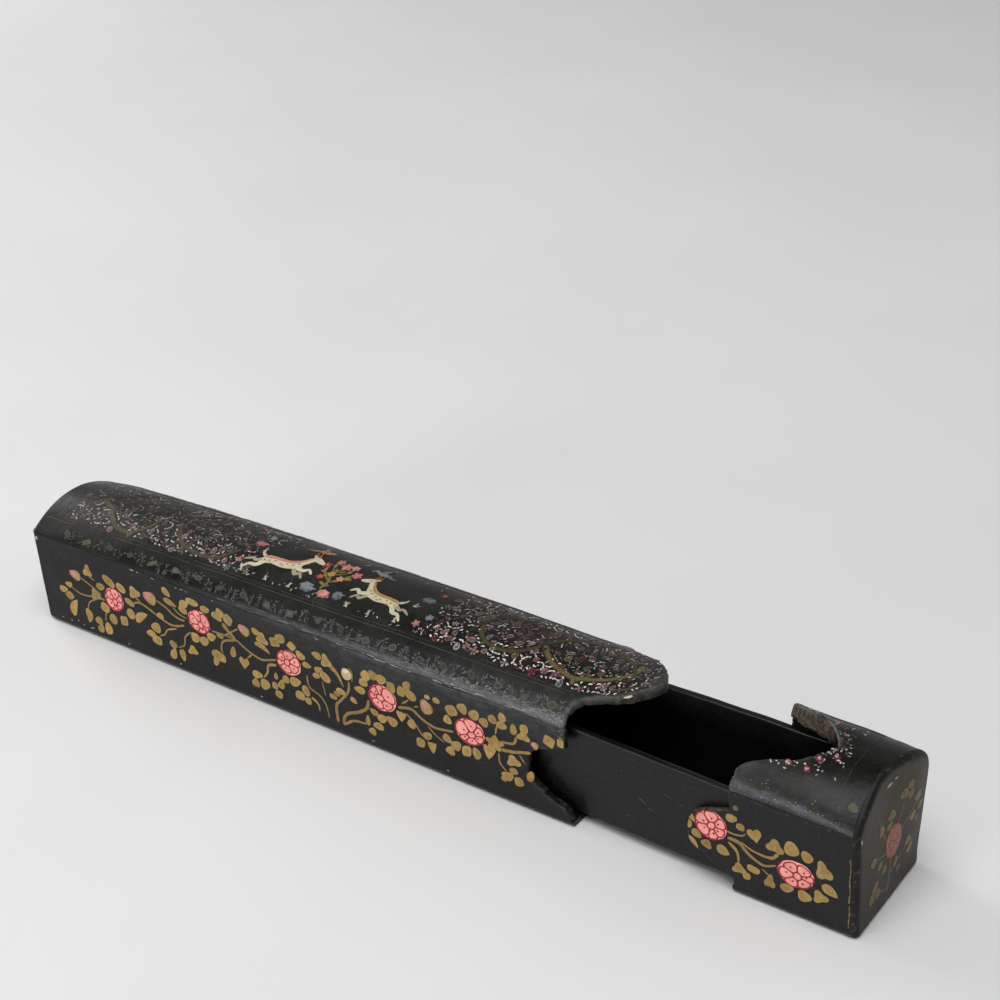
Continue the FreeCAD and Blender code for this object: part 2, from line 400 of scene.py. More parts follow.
def bar(name, xs, loop_at, mat, body, node, edge_at=None, sharp=38):
    """Closed bar: loops of (y, z) at stations along x."""
    V, E, F = [], [], []
    for k, x in enumerate(xs):
        L = loop_at(x)
        V.extend(np.stack([np.full(len(L), x), L[:, 0], L[:, 1]], 1))
        E.extend([edge_at(x, p) if edge_at else 0.0 for p in L])
    m = len(L)
    for k in range(len(xs) - 1):
        F += [(k * m + j, k * m + (j + 1) % m, (k + 1) * m + (j + 1) % m, (k + 1) * m + j) for j in range(m)]
    F.append(tuple(range(m)))
    F.append(tuple((len(xs) - 1) * m + j for j in range(m)))
    return to_object(name, V, F, mat, body, (node,), {"edge": E}, sharp=sharp)


# --- materials -------------------------------------------------------------------
def lin(r, g, b):
    f = lambda c: ((c / 255 + 0.055) / 1.055) ** 2.4 if c > 10 else c / 255 / 12.92
    return (f(r), f(g), f(b), 1.0)


class Nodes:
    def __init__(self, name):
        self.mat = bpy.data.materials.new(name)
        self.mat.use_nodes = True
        self.t = self.mat.node_tree
        self.t.nodes.clear()

    def add(self, kind, **kw):
        n = self.t.nodes.new(kind)
        for k, v in kw.items():
            setattr(n, k, v)
        return n

    def link(self, a, b):
        self.t.links.new(a, b)

    def coords(self):
        return self.add("ShaderNodeTexCoord").outputs["Object"]

    def scaled(self, src, s):
        m = self.add("ShaderNodeMapping")
        m.inputs["Scale"].default_value = s
        self.link(src, m.inputs["Vector"])
        return m.outputs["Vector"]

    def noise(self, src, scale, detail=4.0, rough=0.55, distort=0.0):
        n = self.add("ShaderNodeTexNoise")
        n.inputs["Scale"].default_value = scale
        n.inputs["Detail"].default_value = detail
        n.inputs["Roughness"].default_value = rough
        n.inputs["Distortion"].default_value = distort
        self.link(src, n.inputs["Vector"])
        return n.outputs["Fac"]

    def cells(self, src, scale, feature="DISTANCE_TO_EDGE", rnd=1.0):
        n = self.add("ShaderNodeTexVoronoi", feature=feature)
        n.inputs["Scale"].default_value = scale
        n.inputs["Randomness"].default_value = rnd
        self.link(src, n.inputs["Vector"])
        return n.outputs["Distance"]

    def ramp(self, src, *stops):
        n = self.add("ShaderNodeValToRGB")
        els = n.color_ramp.elements
        while len(els) < len(stops):
            els.new(0.5)
        for e, (p, c) in zip(els, stops):
            e.position = p
            e.color = c if isinstance(c, tuple) else (c, c, c, 1)
        self.link(src, n.inputs["Fac"])
        return n.outputs["Color"]

    def math(self, op, a, b=None, clamp=False):
        n = self.add("ShaderNodeMath", operation=op)
        n.use_clamp = clamp
        for i, v in enumerate((a, b)):
            if v is None:
                continue
            if isinstance(v, (int, float)):
                n.inputs[i].default_value = v
            else:
                self.link(v, n.inputs[i])
        return n.outputs[0]

    def mix(self, fac, a, b, blend="MIX"):
        n = self.add("ShaderNodeMix", data_type="RGBA", blend_type=blend)
        n.clamp_factor = True
        for sock, v in ((n.inputs[0], fac), (n.inputs[6], a), (n.inputs[7], b)):
            if isinstance(v, (int, float)):
                sock.default_value = v
            elif isinstance(v, tuple):
                sock.default_value = v
            else:
                self.link(v, sock)
        return n.outputs[2]

    def attr(self, name, out="Fac"):
        n = self.add("ShaderNodeAttribute", attribute_name=name)
        return n.outputs[out]

    def bump(self, src, dist, strength, normal=None):
        n = self.add("ShaderNodeBump")
        n.inputs["Strength"].default_value = strength
        n.inputs["Distance"].default_value = dist
        self.link(src, n.inputs["Height"])
        if normal is not None:
            self.link(normal, n.inputs["Normal"])
        return n.outputs["Normal"]

    def finish(self, color, rough, normal, spec=0.5):
        p = self.add("ShaderNodeBsdfPrincipled")
        if isinstance(spec, float):
            p.inputs["Specular IOR Level"].default_value = spec
        else:
            self.link(spec, p.inputs["Specular IOR Level"])
        self.link(color, p.inputs["Base Color"])
        self.link(rough, p.inputs["Roughness"])
        self.link(normal, p.inputs["Normal"])
        o = self.add("ShaderNodeOutputMaterial")
        self.link(p.outputs[0], o.inputs["Surface"])
        return self.mat


def lacquer(name, dark, pale, dust, wear_col, rough=(0.26, 0.40), crackle=0.5, wear=0.55, streak=0.5, spec=0.30, dents=0.35, rim=False):
    """Old black lacquer: cloudy, scratched lengthways, finely crackled, rubbed pale at the edges."""
    n = Nodes(name)
    c = n.coords()
    cloud = n.noise(c, 55, 5, 0.6)
    mott = n.noise(c, 420, 4, 0.6)
    grain = n.noise(c, 2600, 3, 0.6)
    col = n.mix(n.ramp(cloud, (0.32, 0.0), (0.72, 1.0)), dark, pale)
    col = n.mix(n.math("MULTIPLY", n.ramp(mott, (0.45, 0.0), (0.75, 1.0)), 0.5), col, pale)
    # dust in the film
    specks = n.ramp(n.noise(c, 1500, 2, 0.5), (0.64, 0.0), (0.74, 1.0))
    col = n.mix(n.math("MULTIPLY", specks, 0.22), col, dust)
    # rubbed scratches along the length
    scr = n.noise(n.scaled(c, (26, 1500, 1500)), 1.0, 3, 0.7)
    scr = n.ramp(scr, (0.66, 0.0), (0.72, 1.0))
    scr = n.math("MULTIPLY", scr, n.ramp(n.noise(c, 90, 2, 0.5), (0.45, 0.0), (0.65, 1.0)))
    col = n.mix(n.math("MULTIPLY", scr, streak), col, dust)
    # crackle
    crk = n.cells(n.scaled(c, (1.0, 1.3, 1.0)), 620)
    crk = n.ramp(crk, (0.0, 1.0), (0.045, 0.0))
    crk = n.math("MULTIPLY", crk, n.ramp(n.noise(c, 120, 2, 0.5), (0.48, 0.0), (0.62, 1.0)))
    # pale grey from the rub attribute: partly polished by handling, partly a painted highlight and sheen
    rub = n.attr("rub")
    rs = n.noise(n.scaled(c, (160, 900, 900)), 1.0, 4, 0.7)
    r2 = n.noise(n.scaled(c, (70, 2400, 2400)), 1.0, 3, 0.7)
    rk = n.math("MULTIPLY", rub, n.ramp(rs, (0.32, 0.32), (0.68, 1.0)))
    rk = n.math("MULTIPLY", rk, n.ramp(mott, (0.34, 0.40), (0.62, 1.0)))
    rk = n.math("ADD", rk, n.math("MULTIPLY", rub, n.ramp(r2, (0.54, 0.0), (0.70, 0.40))), clamp=True)
    col = n.mix(n.math("MULTIPLY", rk, 0.70), col, lin(110, 113, 115))
    # worn edges
    e = n.attr("edge")
    we = n.math("ADD", n.math("MULTIPLY", e, 0.9), n.math("MULTIPLY", n.math("SUBTRACT", n.noise(c, 300, 5, 0.7), 0.5), 1.3))
    we = n.ramp(we, (0.62, 0.0), (0.98, 1.0))
    we = n.math("MULTIPLY", we, n.ramp(n.noise(c, 900, 4, 0.7), (0.40, 0.25), (0.60, 1.0)))
    we = n.math("MULTIPLY", we, wear)
    if rim:
        # darker towards the foot
        sx = n.add("ShaderNodeSeparateXYZ")
        n.link(c, sx.inputs[0])
        col = n.mix(n.ramp(sx.outputs["Z"], (0.0, 0.62), (0.034, 0.0)), col, lin(20, 17, 12))
        # black rim along the edges: painted shade for the dark groove round the end board, broken here and there
        rm = n.math("ADD", e, n.math("MULTIPLY", n.math("SUBTRACT", n.noise(c, 260, 4, 0.6), 0.5), 0.7))
        col = n.mix(n.ramp(rm, (0.40, 0.0), (0.72, 1.0)), col, lin(13, 12, 10))
        we = n.math("MULTIPLY", n.ramp(n.noise(c, 520, 5, 0.7), (0.56, 0.0), (0.70, 1.0)), n.math("MULTIPLY", e, 0.45))
    col = n.mix(we, col, wear_col)
    ro = n.math("ADD", n.math("MULTIPLY", n.ramp(cloud, (0.3, 0.0), (0.75, 1.0)), rough[1] - rough[0]), rough[0])
    ro = n.math("ADD", ro, n.math("MULTIPLY", n.math("ADD", specks, scr), 0.12))
    ro = n.math("ADD", ro, n.math("MULTIPLY", we, 0.3))
    ro = n.math("ADD", ro, n.math("MULTIPLY", rk, 0.18), clamp=True)
    nb = n.bump(grain, 0.00003, 0.35)
    nb = n.bump(mott, 0.00012, 0.30, nb)
    nb = n.bump(n.noise(c, 130, 3, 0.5), 0.0006, dents, nb)
    nb = n.bump(n.math("MULTIPLY", crk, -1.0), 0.00005, crackle, nb)
    nb = n.bump(scr, 0.00002, 0.5, nb)
    nb = n.bump(n.math("MULTIPLY", rub, n.math("ADD", r2, rs)), 0.00014, 0.40, nb)
    return n.finish(col, ro, nb, spec)


def paint(name, rough=(0.34, 0.50), fade=0.30, spec=0.30):
    """Thin brush paint under old varnish; the colour is each stroke's own."""
    n = Nodes(name)
    c = n.coords()
    base = n.attr("Col", "Color")
    cloud = n.noise(c, 700, 4, 0.6)
    fine = n.noise(c, 3200, 3, 0.6)
    col = n.mix(n.ramp(cloud, (0.35, 0.0), (0.7, 1.0)), n.mix(1.0, base, (0.80, 0.76, 0.70, 1), "MULTIPLY"), base)
    rub = n.ramp(n.noise(c, 1300, 3, 0.65), (0.58, 0.0), (0.72, 1.0))
    col = n.mix(n.math("MULTIPLY", rub, fade), col, (0.02, 0.018, 0.016, 1))
    ro = n.math("ADD", n.math("MULTIPLY", cloud, rough[1] - rough[0]), rough[0])
    nb = n.bump(fine, 0.00004, 0.35)
    nb = n.bump(cloud, 0.00008, 0.25, nb)
    nb = n.bump(n.noise(c, 130, 3, 0.5), 0.0006, 0.35, nb)
    return n.finish(col, ro, nb, spec)


WORN = lin(112, 107, 94)
M_SLEEVE = lacquer("sleeve_lacquer", lin(9, 10, 10), lin(18, 18, 18), lin(84, 82, 76), WORN, spec=0.22)
M_DOME = lacquer("dome_lacquer", lin(9, 9, 8), lin(22, 21, 18), lin(88, 85, 74), WORN, rough=(0.28, 0.42), spec=0.28)
M_CAP = lacquer("cap_lacquer", lin(9, 10, 10), lin(18, 18, 18), lin(84, 82, 76), WORN, spec=0.27)
M_CAPTOP = lacquer("cap_top_lacquer", lin(8, 8, 7), lin(20, 18, 15), lin(88, 84, 72), lin(112, 102, 86), rough=(0.28, 0.42), spec=0.23)
# The ends' pale olive ground is partly their own colour, partly a painted reflection of the pale floor and wall;
# rim=True adds the painted shade at their rim.
M_END_PAINTED_LIGHT = lacquer("end_lacquer", lin(45, 40, 30), lin(70, 63, 48), lin(106, 97, 78), lin(120, 112, 94), rough=(0.46, 0.62), spec=0.28, rim=True)
M_TRAY = lacquer("tray_lacquer", lin(10, 10, 10), lin(17, 17, 17), lin(84, 82, 76), lin(120, 117, 108), rough=(0.28, 0.40), crackle=0.2, spec=0.27)
M_INSIDE = lacquer("tray_inside", lin(2, 2, 2), lin(4, 4, 4), lin(30, 28, 25), lin(50, 47, 40), rough=(0.30, 0.44), crackle=0.2, wear=0.2, spec=0.12)
M_PAINT = paint("ornament_paint")

# --- shells ------------------------------------------------------------------------
def blind_x(z):
    return XL + END_T - END_LEAN * z / SHOULDER_Z


def capend_x(z):
    return XE - END_T - CAP_LEAN * z / SHOULDER_Z


def dense_z(z0, z1):
    zs = [z0]
    while zs[-1] < z1 - 1e-6:
        z = zs[-1]
        zs.append(min(z1, z + (0.32 if 4.0 < z < 12.5 or 20.5 < z < 28.2 else 1.1)))
    return zs


def inner_wall(sign, thick):
    y0 = sign * (HALF_W - thick)

    def f(x, z):
        x, z = np.broadcast_arrays(np.asarray(x, float), np.asarray(z, float))
        return np.stack([x, np.full(x.shape, y0), z], -1)
    return f


def inner_dome(thick, lip=1.3):
    hw, rise = HALF_W - thick, DOME_RISE - DOME_THICK

    def f(x, s):
        x, s = np.broadcast_arrays(np.asarray(x, float), np.asarray(s, float))
        ph = np.interp(np.clip(s, 0, ARC), _AS, _PH)
        y, z = arch(ph, hw, rise)
        yo, zo, _, _ = dome_frame(s)
        drop = arch_height(x, yo, zo) - zo
        # the board is left thick along its cut edge
        lp = lip(s) if callable(lip) else lip
        e = lp * np.clip(1 - to_cut(x, ogee(yo)) / 7.0, 0, 1) ** 2 * np.clip((np.minimum(s, ARC - s) - 2.0) / 4.0, 0, 1)
        e = e * (1 + 0.25 * soft_noise(s * 12.0, x * 6.0, 1.1))
        return np.stack([x, y, np.maximum(z + drop, SHOULDER_Z) - np.minimum(e, np.maximum(lp - 0.1, 1.6)) + curl(x)], -1)
    return f


wall_rows = row_set(dense_z(FLOOR_T, SHOULDER_Z), 0.05, 0.35)
cap_wall_rows = row_set(dense_z(TRAY_Z, SHOULDER_Z), 0.05, 0.35)
ARC_S = list(ARC * (0.5 - 0.5 * np.cos(np.linspace(0, math.pi, 90))))
ARC_S = sorted(set([round(s, 4) for s in ARC_S]))
dome_rows = row_set(ARC_S, 0.35, 0.35)


def s_y(s):
    return float(dome_frame(s)[0])


def s_z(s):
    return float(dome_frame(s)[1])


# Pale band above the shoulders of the top, strongest towards the mouth: partly rubbed wear, partly a painted highlight
# where the ridge catches the light.
def top_wear_and_highlight(x, s):
    s = min(s, ARC - s)
    k = np.clip((x + 45) / 90, 0.10, 1.0) if s < 12 else 0.0
    k = k * (1 + 0.75 * np.clip((x - 50.0) / 35.0, 0, 1))
    return (1.0 * np.exp(-((s - 1.6) / 1.3) ** 2) + 0.22 * np.exp(-((s - 5.0) / 3.0) ** 2)) * k + 0.6 * np.exp(-np.clip(104.5 - x, 0, None) / 6.0) * np.exp(-(s / 4.0) ** 2)


# Pale band above both shoulders of the cap: mostly a painted highlight where the gloss catches the light, partly rubbed
# wear.
def cap_highlight_and_wear(x, s):
    s = min(s, ARC - s)
    return (0.72 * np.exp(-((s - 2.2) / 1.9) ** 2) + 0.17 * np.exp(-((s - 6.0) / 3.0) ** 2)) * (1 - 0.5 * np.clip((x - 178) / 16, 0, 1))


def horn(s):
    return np.exp(-((s - 37.0) / 6.5) ** 2)


def ear_wear(x, s):
    """The far horn of the scoop is worn to the brown board."""
    return 1.3 * np.exp(-((s - 35.0) / 7.5) ** 2) * np.exp(-np.clip(x - 160.0, 0, None) / 22.0)


def crest_wear_and_sheen(x, s):
    """The far side of the crown is paler, most of all towards the mouth: partly scuffed wear, partly a painted sheen.
    """
    return 0.62 * np.exp(-((s - 39.0) / 4.2) ** 2) * np.clip((x - 0.0) / 60.0, 0.3, 1.0)


# Paler along the top of each wall, more towards the mouth: partly wear, partly a painted sheen.
def wall_top_wear_and_sheen(x, z):
    return (0.5 * np.exp(-((33.8 - z) / 1.0) ** 2) + 0.30 * np.exp(-((33.8 - z) / 8.0) ** 2)) * np.clip((x + 55) / 80, 0.08, 1.0)


shell("sleeve_near_wall_shell", wall_rows, blind_x, lambda z: XM - SEAM + bracket(z), near_at, inner_wall(-1, WALL),
      100, 0.7, M_SLEEVE, "sleeve", "sleeve_near_wall", nibble=0.35, rub=wall_top_wear_and_sheen, wear=(0.12, 0.6))
shell("sleeve_far_wall_shell", wall_rows, blind_x, lambda z: XM - SEAM + bracket(z), far_at, inner_wall(1, WALL),
      100, 0.7, M_SLEEVE, "sleeve", "sleeve_far_wall", nibble=0.35, rub=wall_top_wear_and_sheen, wear=(0.12, 0.6))
shell("sleeve_domed_top_shell", dome_rows, lambda s: blind_x(s_z(s)), lambda s: XM - SEAM + ogee(s_y(s)), dome_at,
      inner_dome(WALL, 1.6), 120, 0.8, M_DOME, "sleeve", "sleeve_domed_top", nibble=0.7, rub=top_wear_and_highlight, wear=(0.6, 0.6), lip_rub=0.85, cut=0.98, more=crest_wear_and_sheen)
end_board("sleeve_end_board_shell", blind_end_at, lambda y, z: blind_x(z), XL - 2.5, 2.1, M_END_PAINTED_LIGHT, "sleeve", "sleeve_end_board")


def base_loop(z1, r):
    pts = [(-HALF_W, z1), ]
    pts += [(-HALF_W + r * (1 - math.cos(a)), r * (1 - math.sin(a))) for a in np.radians([0, 15, 30, 45, 60, 75, 90])]
    pts += [(y, 0.0) for y in np.linspace(-HALF_W + r, HALF_W - r, 12)[1:]]
    pts += [(HALF_W - r * (1 - math.sin(a)), r * (1 - math.cos(a))) for a in np.radians([15, 30, 45, 60, 75, 90])]
    pts += [(HALF_W, z1)]
    pts += [(y, z1) for y in np.linspace(HALF_W, -HALF_W, 14)[1:-1]]
    return np.array(pts)


def wavy_base(z1, r, k):
    L0 = base_loop(z1, r)

    def f(x):
        L = L0.copy()
        low = L[:, 1] < 0.4 * z1
        L[:, 1] = np.where(low, L[:, 1] + 0.05 * (1 + np.sin(x * 0.35 + k)), L[:, 1])
        return L
    return f


def base_edge(x, p):
    return 0.42 * math.exp(-max(0.0, (HALF_W - abs(p[0]))) / 1.0) if p[1] < 1.0 else 0.05


xs = list(np.linspace(float(blind_x(1.0)), XM - SEAM - 0.3, 110)) + [XM - SEAM]
bar("sleeve_floor_board", xs, wavy_base(FLOOR_T, 1.85, 0.3), M_SLEEVE, "sleeve", "sleeve_floor", base_edge)

# cap
shell("cap_near_wall_shell", cap_wall_rows, capend_x, lambda z: XC + SEAM + bracket(z), near_at, inner_wall(-1, CAP_WALL),
      44, 0.95, M_CAP, "drawer", "cap_near_wall", nibble=0.25, wear=(0.1, 0.5), cut=1.1)
shell("cap_far_wall_shell", cap_wall_rows, lambda z: capend_x(z) + twist(HALF_W, z), lambda z: XC + SEAM + bracket(z), far_at, inner_wall(1, CAP_WALL),
      44, 0.95, M_CAP, "drawer", "cap_far_wall", nibble=0.25, wear=(0.1, 0.5), cut=0.6)
shell("cap_domed_top_shell", dome_rows, lambda s: capend_x(s_z(s)) + twist(s_y(s), s_z(s)), lambda s: XC + SEAM + ogee(s_y(s)), dome_at,
      inner_dome(CAP_WALL, lambda s: 1.7 + 2.2 * horn(s)), 44, lambda s: 1.0 + 0.9 * horn(s), M_CAPTOP, "drawer", "cap_domed_top", nibble=0.6, rub=cap_highlight_and_wear, wear=(0.6, 0.6), lip_rub=0.75, cut=lambda s: 0.95 if s < 22 else 0.62 + 0.5 * horn(s), more=ear_wear)
end_board("cap_end_board_shell", cap_end_at, lambda y, z: capend_x(z) + twist(y, z), XE - 3.0, 1.6, M_END_PAINTED_LIGHT, "drawer", "cap_end_board")
xs = [XC + SEAM] + list(np.linspace(XC + SEAM + 0.3, float(capend_x(1.0)), 24))
bar("cap_floor_board", xs, wavy_base(TRAY_Z, 1.85, 1.9), M_CAP, "drawer", "cap_floor", base_edge)


# tray: its near side has drawn inwards along the middle, as thin pasteboard does
_BX = np.arange(-140.0, 221.0, 1.0)
_BY = np.interp(_BX, (-110, -50, 10, 60, 106, 130, 150, 158), (0.0, 0.2, 1.3, 2.0, 2.0, 1.05, 0.2, 0.0))
_BY = np.convolve(np.pad(_BY, 9, mode="edge"), np.ones(19) / 19, mode="valid")


def bow(x):
    return np.interp(x, _BX, _BY)


def tall(x, y):
    """The far side stands a little taller towards the cap."""
    return float(np.interp(x, (100, 118, 150, 190), (0.0, 0.9, 1.6, 1.6))) if y > 0 else 0.0


def side_loop(y0, y1, z0, z1, r, k):
    def f(x):
        w = 0.10 * math.sin(x * 0.09 + k) + 0.05 * math.sin(x * 0.31 + 2 * k)
        v = 0.06 * math.sin(x * 0.05 + k)
        zt = z1 + w - 0.1 + tall(x, y0)
        pts = [(y0, z0)] + [(y0, z) for z in np.linspace(z0, zt - r, 40)[1:]]
        pts += [(y0 + r * (1 - math.cos(a)), zt - r + r * math.sin(a)) for a in np.radians([30, 60, 90])]
        pts += [(y1 - r * (1 - math.sin(a)), zt - r + r * math.cos(a)) for a in np.radians([0, 30, 60])]
        pts += [(y1, z) for z in np.linspace(zt - r, z0, 40)]
        L = np.array(pts)
        L[:, 0] += v + (float(bow(x)) if y0 < 0 else 0.0)
        return L[::-1]
    return f


def side_edge(x, p):
    out = math.exp(-max(0.0, DRAWER_HW - abs(p[0]) - (float(bow(x)) if p[0] < 0 else 0.0)) / 0.35)
    return (0.25 + 0.65 * out) * math.exp(-max(0.0, SIDE_TOP_Z + tall(x, p[0]) - p[1]) / 0.5)


xs = sorted(set([round(float(v), 3) for v in np.linspace(TRAY_BACK, TRAY_FRONT + SIDE_T, 90)] + [round(float(v), 3) for v in np.arange(86, 122, 0.6)]))
bar("drawer_near_side_board", xs, side_loop(-DRAWER_HW, -DRAWER_HW + SIDE_T, TRAY_Z + 1.2, SIDE_TOP_Z, 0.45, 0.6), M_TRAY,
    "drawer", "drawer_near_side", side_edge)
bar("drawer_far_side_board", xs, side_loop(DRAWER_HW - SIDE_T, DRAWER_HW, TRAY_Z, SIDE_TOP_Z, 0.45, 2.6), M_TRAY,
    "drawer", "drawer_far_side", side_edge)


def board_x(name, x0, x1, node, k):
    def loop(x):
        w = DRAWER_HW - SIDE_T - 0.02
        pts = [(-w, TRAY_TOP)] + [(y, TRAY_TOP) for y in np.linspace(-w, w, 9)[1:]]
        zt = SIDE_TOP_Z - 0.3
        pts += [(w, zt)] + [(y, zt + 0.12 * math.sin(y * 0.3 + k)) for y in np.linspace(w, -w, 17)[1:-1]] + [(-w, zt)]
        L = np.array(pts)
        if x in (x0, x1):
            c = L.mean(0)
            L = c + (L - c) * np.array([0.99, 0.985])
        return L
    bar(name, [x0, x0 + 0.3, x1 - 0.3, x1], loop, M_INSIDE, "drawer", node, side_edge)


board_x("drawer_back_panel", TRAY_BACK, TRAY_BACK + SIDE_T, "drawer_back_board", 0.4)
board_x("drawer_front_panel", TRAY_FRONT, TRAY_FRONT + SIDE_T, "drawer_front_board", 1.4)


def floor_loop(x):
    w = DRAWER_HW - SIDE_T - 0.02
    near = -w + float(bow(x))
    up = [(y, TRAY_TOP + 0.05 * math.sin(x * 0.07 + y * 0.2)) for y in np.linspace(w, near, 12)]
    dn = [(y, TRAY_Z + 0.7) for y in np.linspace(near, w, 12)]
    return np.array(dn + up)


bar("drawer_floor_panel", list(np.linspace(TRAY_BACK, TRAY_FRONT + SIDE_T, 60)), floor_loop, M_INSIDE, "drawer",
    "drawer_floor")

# --- painted ornament ------------------------------------------------------------------
# Every stroke is a thin closed plate that follows the face it lies on.
rng = random.Random(11)
DX = 1.0


class Paint:
    def __init__(self):
        self.V, self.F, self.C, self.UV, self.k, self.trim = [], [], [], [], 0, None

    def _put(self, top, bot, topf, col):
        b, n = len(self.V), len(top)
        self.V.extend(top)
        self.V.extend(bot)
        self.C.extend([col] * (2 * n))
        self.k += 1
        edges = {}
        for f in topf:
            self.F.append(tuple(b + i for i in f))
            self.F.append(tuple(b + n + i for i in reversed(f)))
            for i, j in zip(f, f[1:] + f[:1]):
                edges[(i, j)] = edges.get((i, j), 0) + 1
        for (i, j) in edges:
            if (j, i) not in edges:
                self.F.append((b + j, b + i, b + n + i, b + n + j))
        self.UV.append((b, 2 * n))

    def poly(self, pts, at, col, lift=0.04, step=None, exact=False):
        pts = np.asarray(pts, float)
        if self.trim:
            pts = self.trim(pts)
        if len(pts) < 3:
            return
        a = np.sum(pts[:, 0] * np.roll(pts[:, 1], -1) - np.roll(pts[:, 0], -1) * pts[:, 1])
        if a < 0:
            pts = pts[::-1]
        h = lift + (0.0 if exact else 0.0045 * (self.k % 8))
        if step:
            v, f = fill(pts, step)
            f = [tuple(t) for t in f]
        else:
            v, f = pts, [tuple(range(len(pts)))]
        self._put(list(at(v[:, 0], v[:, 1], h)), list(at(v[:, 0], v[:, 1], -0.10)), f, col)

    def stroke(self, pts, w0, w1, at, col, lift=0.03, ds=0.9, swell=0.0):
        c = through(pts, ds)
        t = np.linspace(0, 1, len(c))
        d = np.gradient(c, axis=0)
        d /= np.maximum(np.linalg.norm(d, axis=1), 1e-9)[:, None]
        nrm = np.stack([-d[:, 1], d[:, 0]], 1)
        w = (w0 + (w1 - w0) * t) * (1 + swell * np.sin(math.pi * t)) / 2
        w *= 1 + 0.08 * np.sin(np.arange(len(c)) * 1.7 + self.k)
        ends = np.ones(len(c))
        ends[0] = ends[-1] = 0.45
        w = w * ends
        L, R = c + nrm * w[:, None], c - nrm * w[:, None]
        v = np.concatenate([L, R])
        n = len(c)
        f = [(i, n + i, n + i + 1, i + 1) for i in range(n - 1)]
        h = lift + 0.0045 * (self.k % 8)
        self._put(list(at(v[:, 0], v[:, 1], h)), list(at(v[:, 0], v[:, 1], -0.10)), f, col)

    def done(self, name, body, slot, mat):
        if not self.V:
            return None
        me = bpy.data.meshes.new(name)
        me.from_pydata([tuple(v) for v in np.asarray(self.V) * 0.001], [], self.F)
        me.update()
        ca = me.color_attributes.new("Col", "FLOAT_COLOR", "POINT")
        ca.data.foreach_set("color", np.asarray(self.C, np.float32).ravel())
        # each stroke has its own small square of the map
        m = int(math.ceil(math.sqrt(len(self.UV))))
        uvp = np.zeros((len(self.V), 2))
        V = np.asarray(self.V)
        for i, (b, n) in enumerate(self.UV):
            P = V[b:b + n]
            ext = P.max(0) - P.min(0)
            ax = [k for k in np.argsort(-ext)][:2]
            q = (P[:, ax] - P[:, ax].min(0)) / max(ext.max(), 1e-6)
            uvp[b:b + n] = (np.array([i % m, i // m]) + 0.12 + 0.76 * q) / m
        uv = me.uv_layers.new(name="OFBake")
        idx = np.zeros(len(me.loops), np.int32)
        me.loops.foreach_get("vertex_index", idx)
        uv.data.foreach_set("uv", uvp[idx].astype(np.float32).ravel())
        bm = bmesh.new()
        bm.from_mesh(me)
        bmesh.ops.recalc_face_normals(bm, faces=bm.faces)
        bm.to_mesh(me)
        bm.free()
        o = bpy.data.objects.new(name, me)
        bpy.context.scene.collection.objects.link(o)
        me.materials.append(mat)
        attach(o, body)
        return o


def through(pts, ds):
    p = np.asarray(pts, float)
    if len(p) == 2:
        n = max(2, int(np.linalg.norm(p[1] - p[0]) / ds) + 1)
        return p[0] + (p[1] - p[0]) * np.linspace(0, 1, n)[:, None]
    q = np.concatenate([[2 * p[0] - p[1]], p, [2 * p[-1] - p[-2]]])
    out = []
    for i in range(1, len(q) - 2):
        n = max(2, int(np.linalg.norm(q[i + 1] - q[i]) / ds) + 1)
        for t in np.linspace(0, 1, n, endpoint=False):
            out.append(0.5 * ((2 * q[i]) + (-q[i - 1] + q[i + 1]) * t + (2 * q[i - 1] - 5 * q[i] + 4 * q[i + 1] - q[i + 2]) * t**2
                              + (-q[i - 1] + 3 * q[i] - 3 * q[i + 1] + q[i + 2]) * t**3))
    out.append(q[-2])
    return np.array(out)


def turn(p, a, c=(0, 0)):
    ca, sa = math.cos(math.radians(a)), math.sin(math.radians(a))
    p = np.asarray(p, float)
    return np.stack([c[0] + p[:, 0] * ca - p[:, 1] * sa, c[1] + p[:, 0] * sa + p[:, 1] * ca], 1)


def blob(cx, cy, w, h, ang=0.0, egg=0.0, n=16, jit=0.05):
    th = np.linspace(0, 2 * math.pi, n, endpoint=False)
    ph = rng.uniform(0, 6.28)
    k = 1 + jit * np.sin(2 * th + ph) + 0.7 * jit * np.sin(3 * th + 2 * ph)
    return turn(np.stack([w / 2 * np.cos(th) * k, h / 2 * np.sin(th) * k * (1 - egg * np.cos(th))], 1), ang, (cx, cy))


def leaf_shape(cx, cy, l, w, ang, bend=0.0):
    t = np.linspace(0, 1, 10)
    half = w / 2 * np.sin(math.pi * t ** 0.72) ** 0.75
    x = (t - 0.5) * l
    y0 = bend * l * (0.25 - (t - 0.5) ** 2) * 2
    up = np.stack([x, y0 + half], 1)
    dn = np.stack([x, y0 - half], 1)[1:-1][::-1]
    return turn(np.concatenate([up, dn]), ang, (cx, cy))


def lobed(cx, cy, w, h, ang=0.0, lobes=3, depth=0.22, ph=0.0, n=26):
    th = np.linspace(0, 2 * math.pi, n, endpoint=False)
    r = 1 - depth + depth * np.cos(lobes * (th - math.radians(90 + ph)))
    r = r * (1 + 0.04 * np.sin(2 * th + rng.uniform(0, 6)))
    return turn(np.stack([w / 2 * r * np.cos(th), h / 2 * r * np.sin(th)], 1), ang, (cx, cy))


def heart(cx, cy, w, h, ang=0.0):
    t = np.linspace(0, 2 * math.pi, 22, endpoint=False)
    x = np.sin(t) ** 3
    y = (13 * np.cos(t) - 5 * np.cos(2 * t) - 2 * np.cos(3 * t) - np.cos(4 * t) + 2.5) / 14.5
    return turn(np.stack([x * w / 2, y * h / 2], 1), ang, (cx, cy))


def shade(c, k):
    return (min(1, c[0] * k), min(1, c[1] * k), min(1, c[2] * k), 1.0)


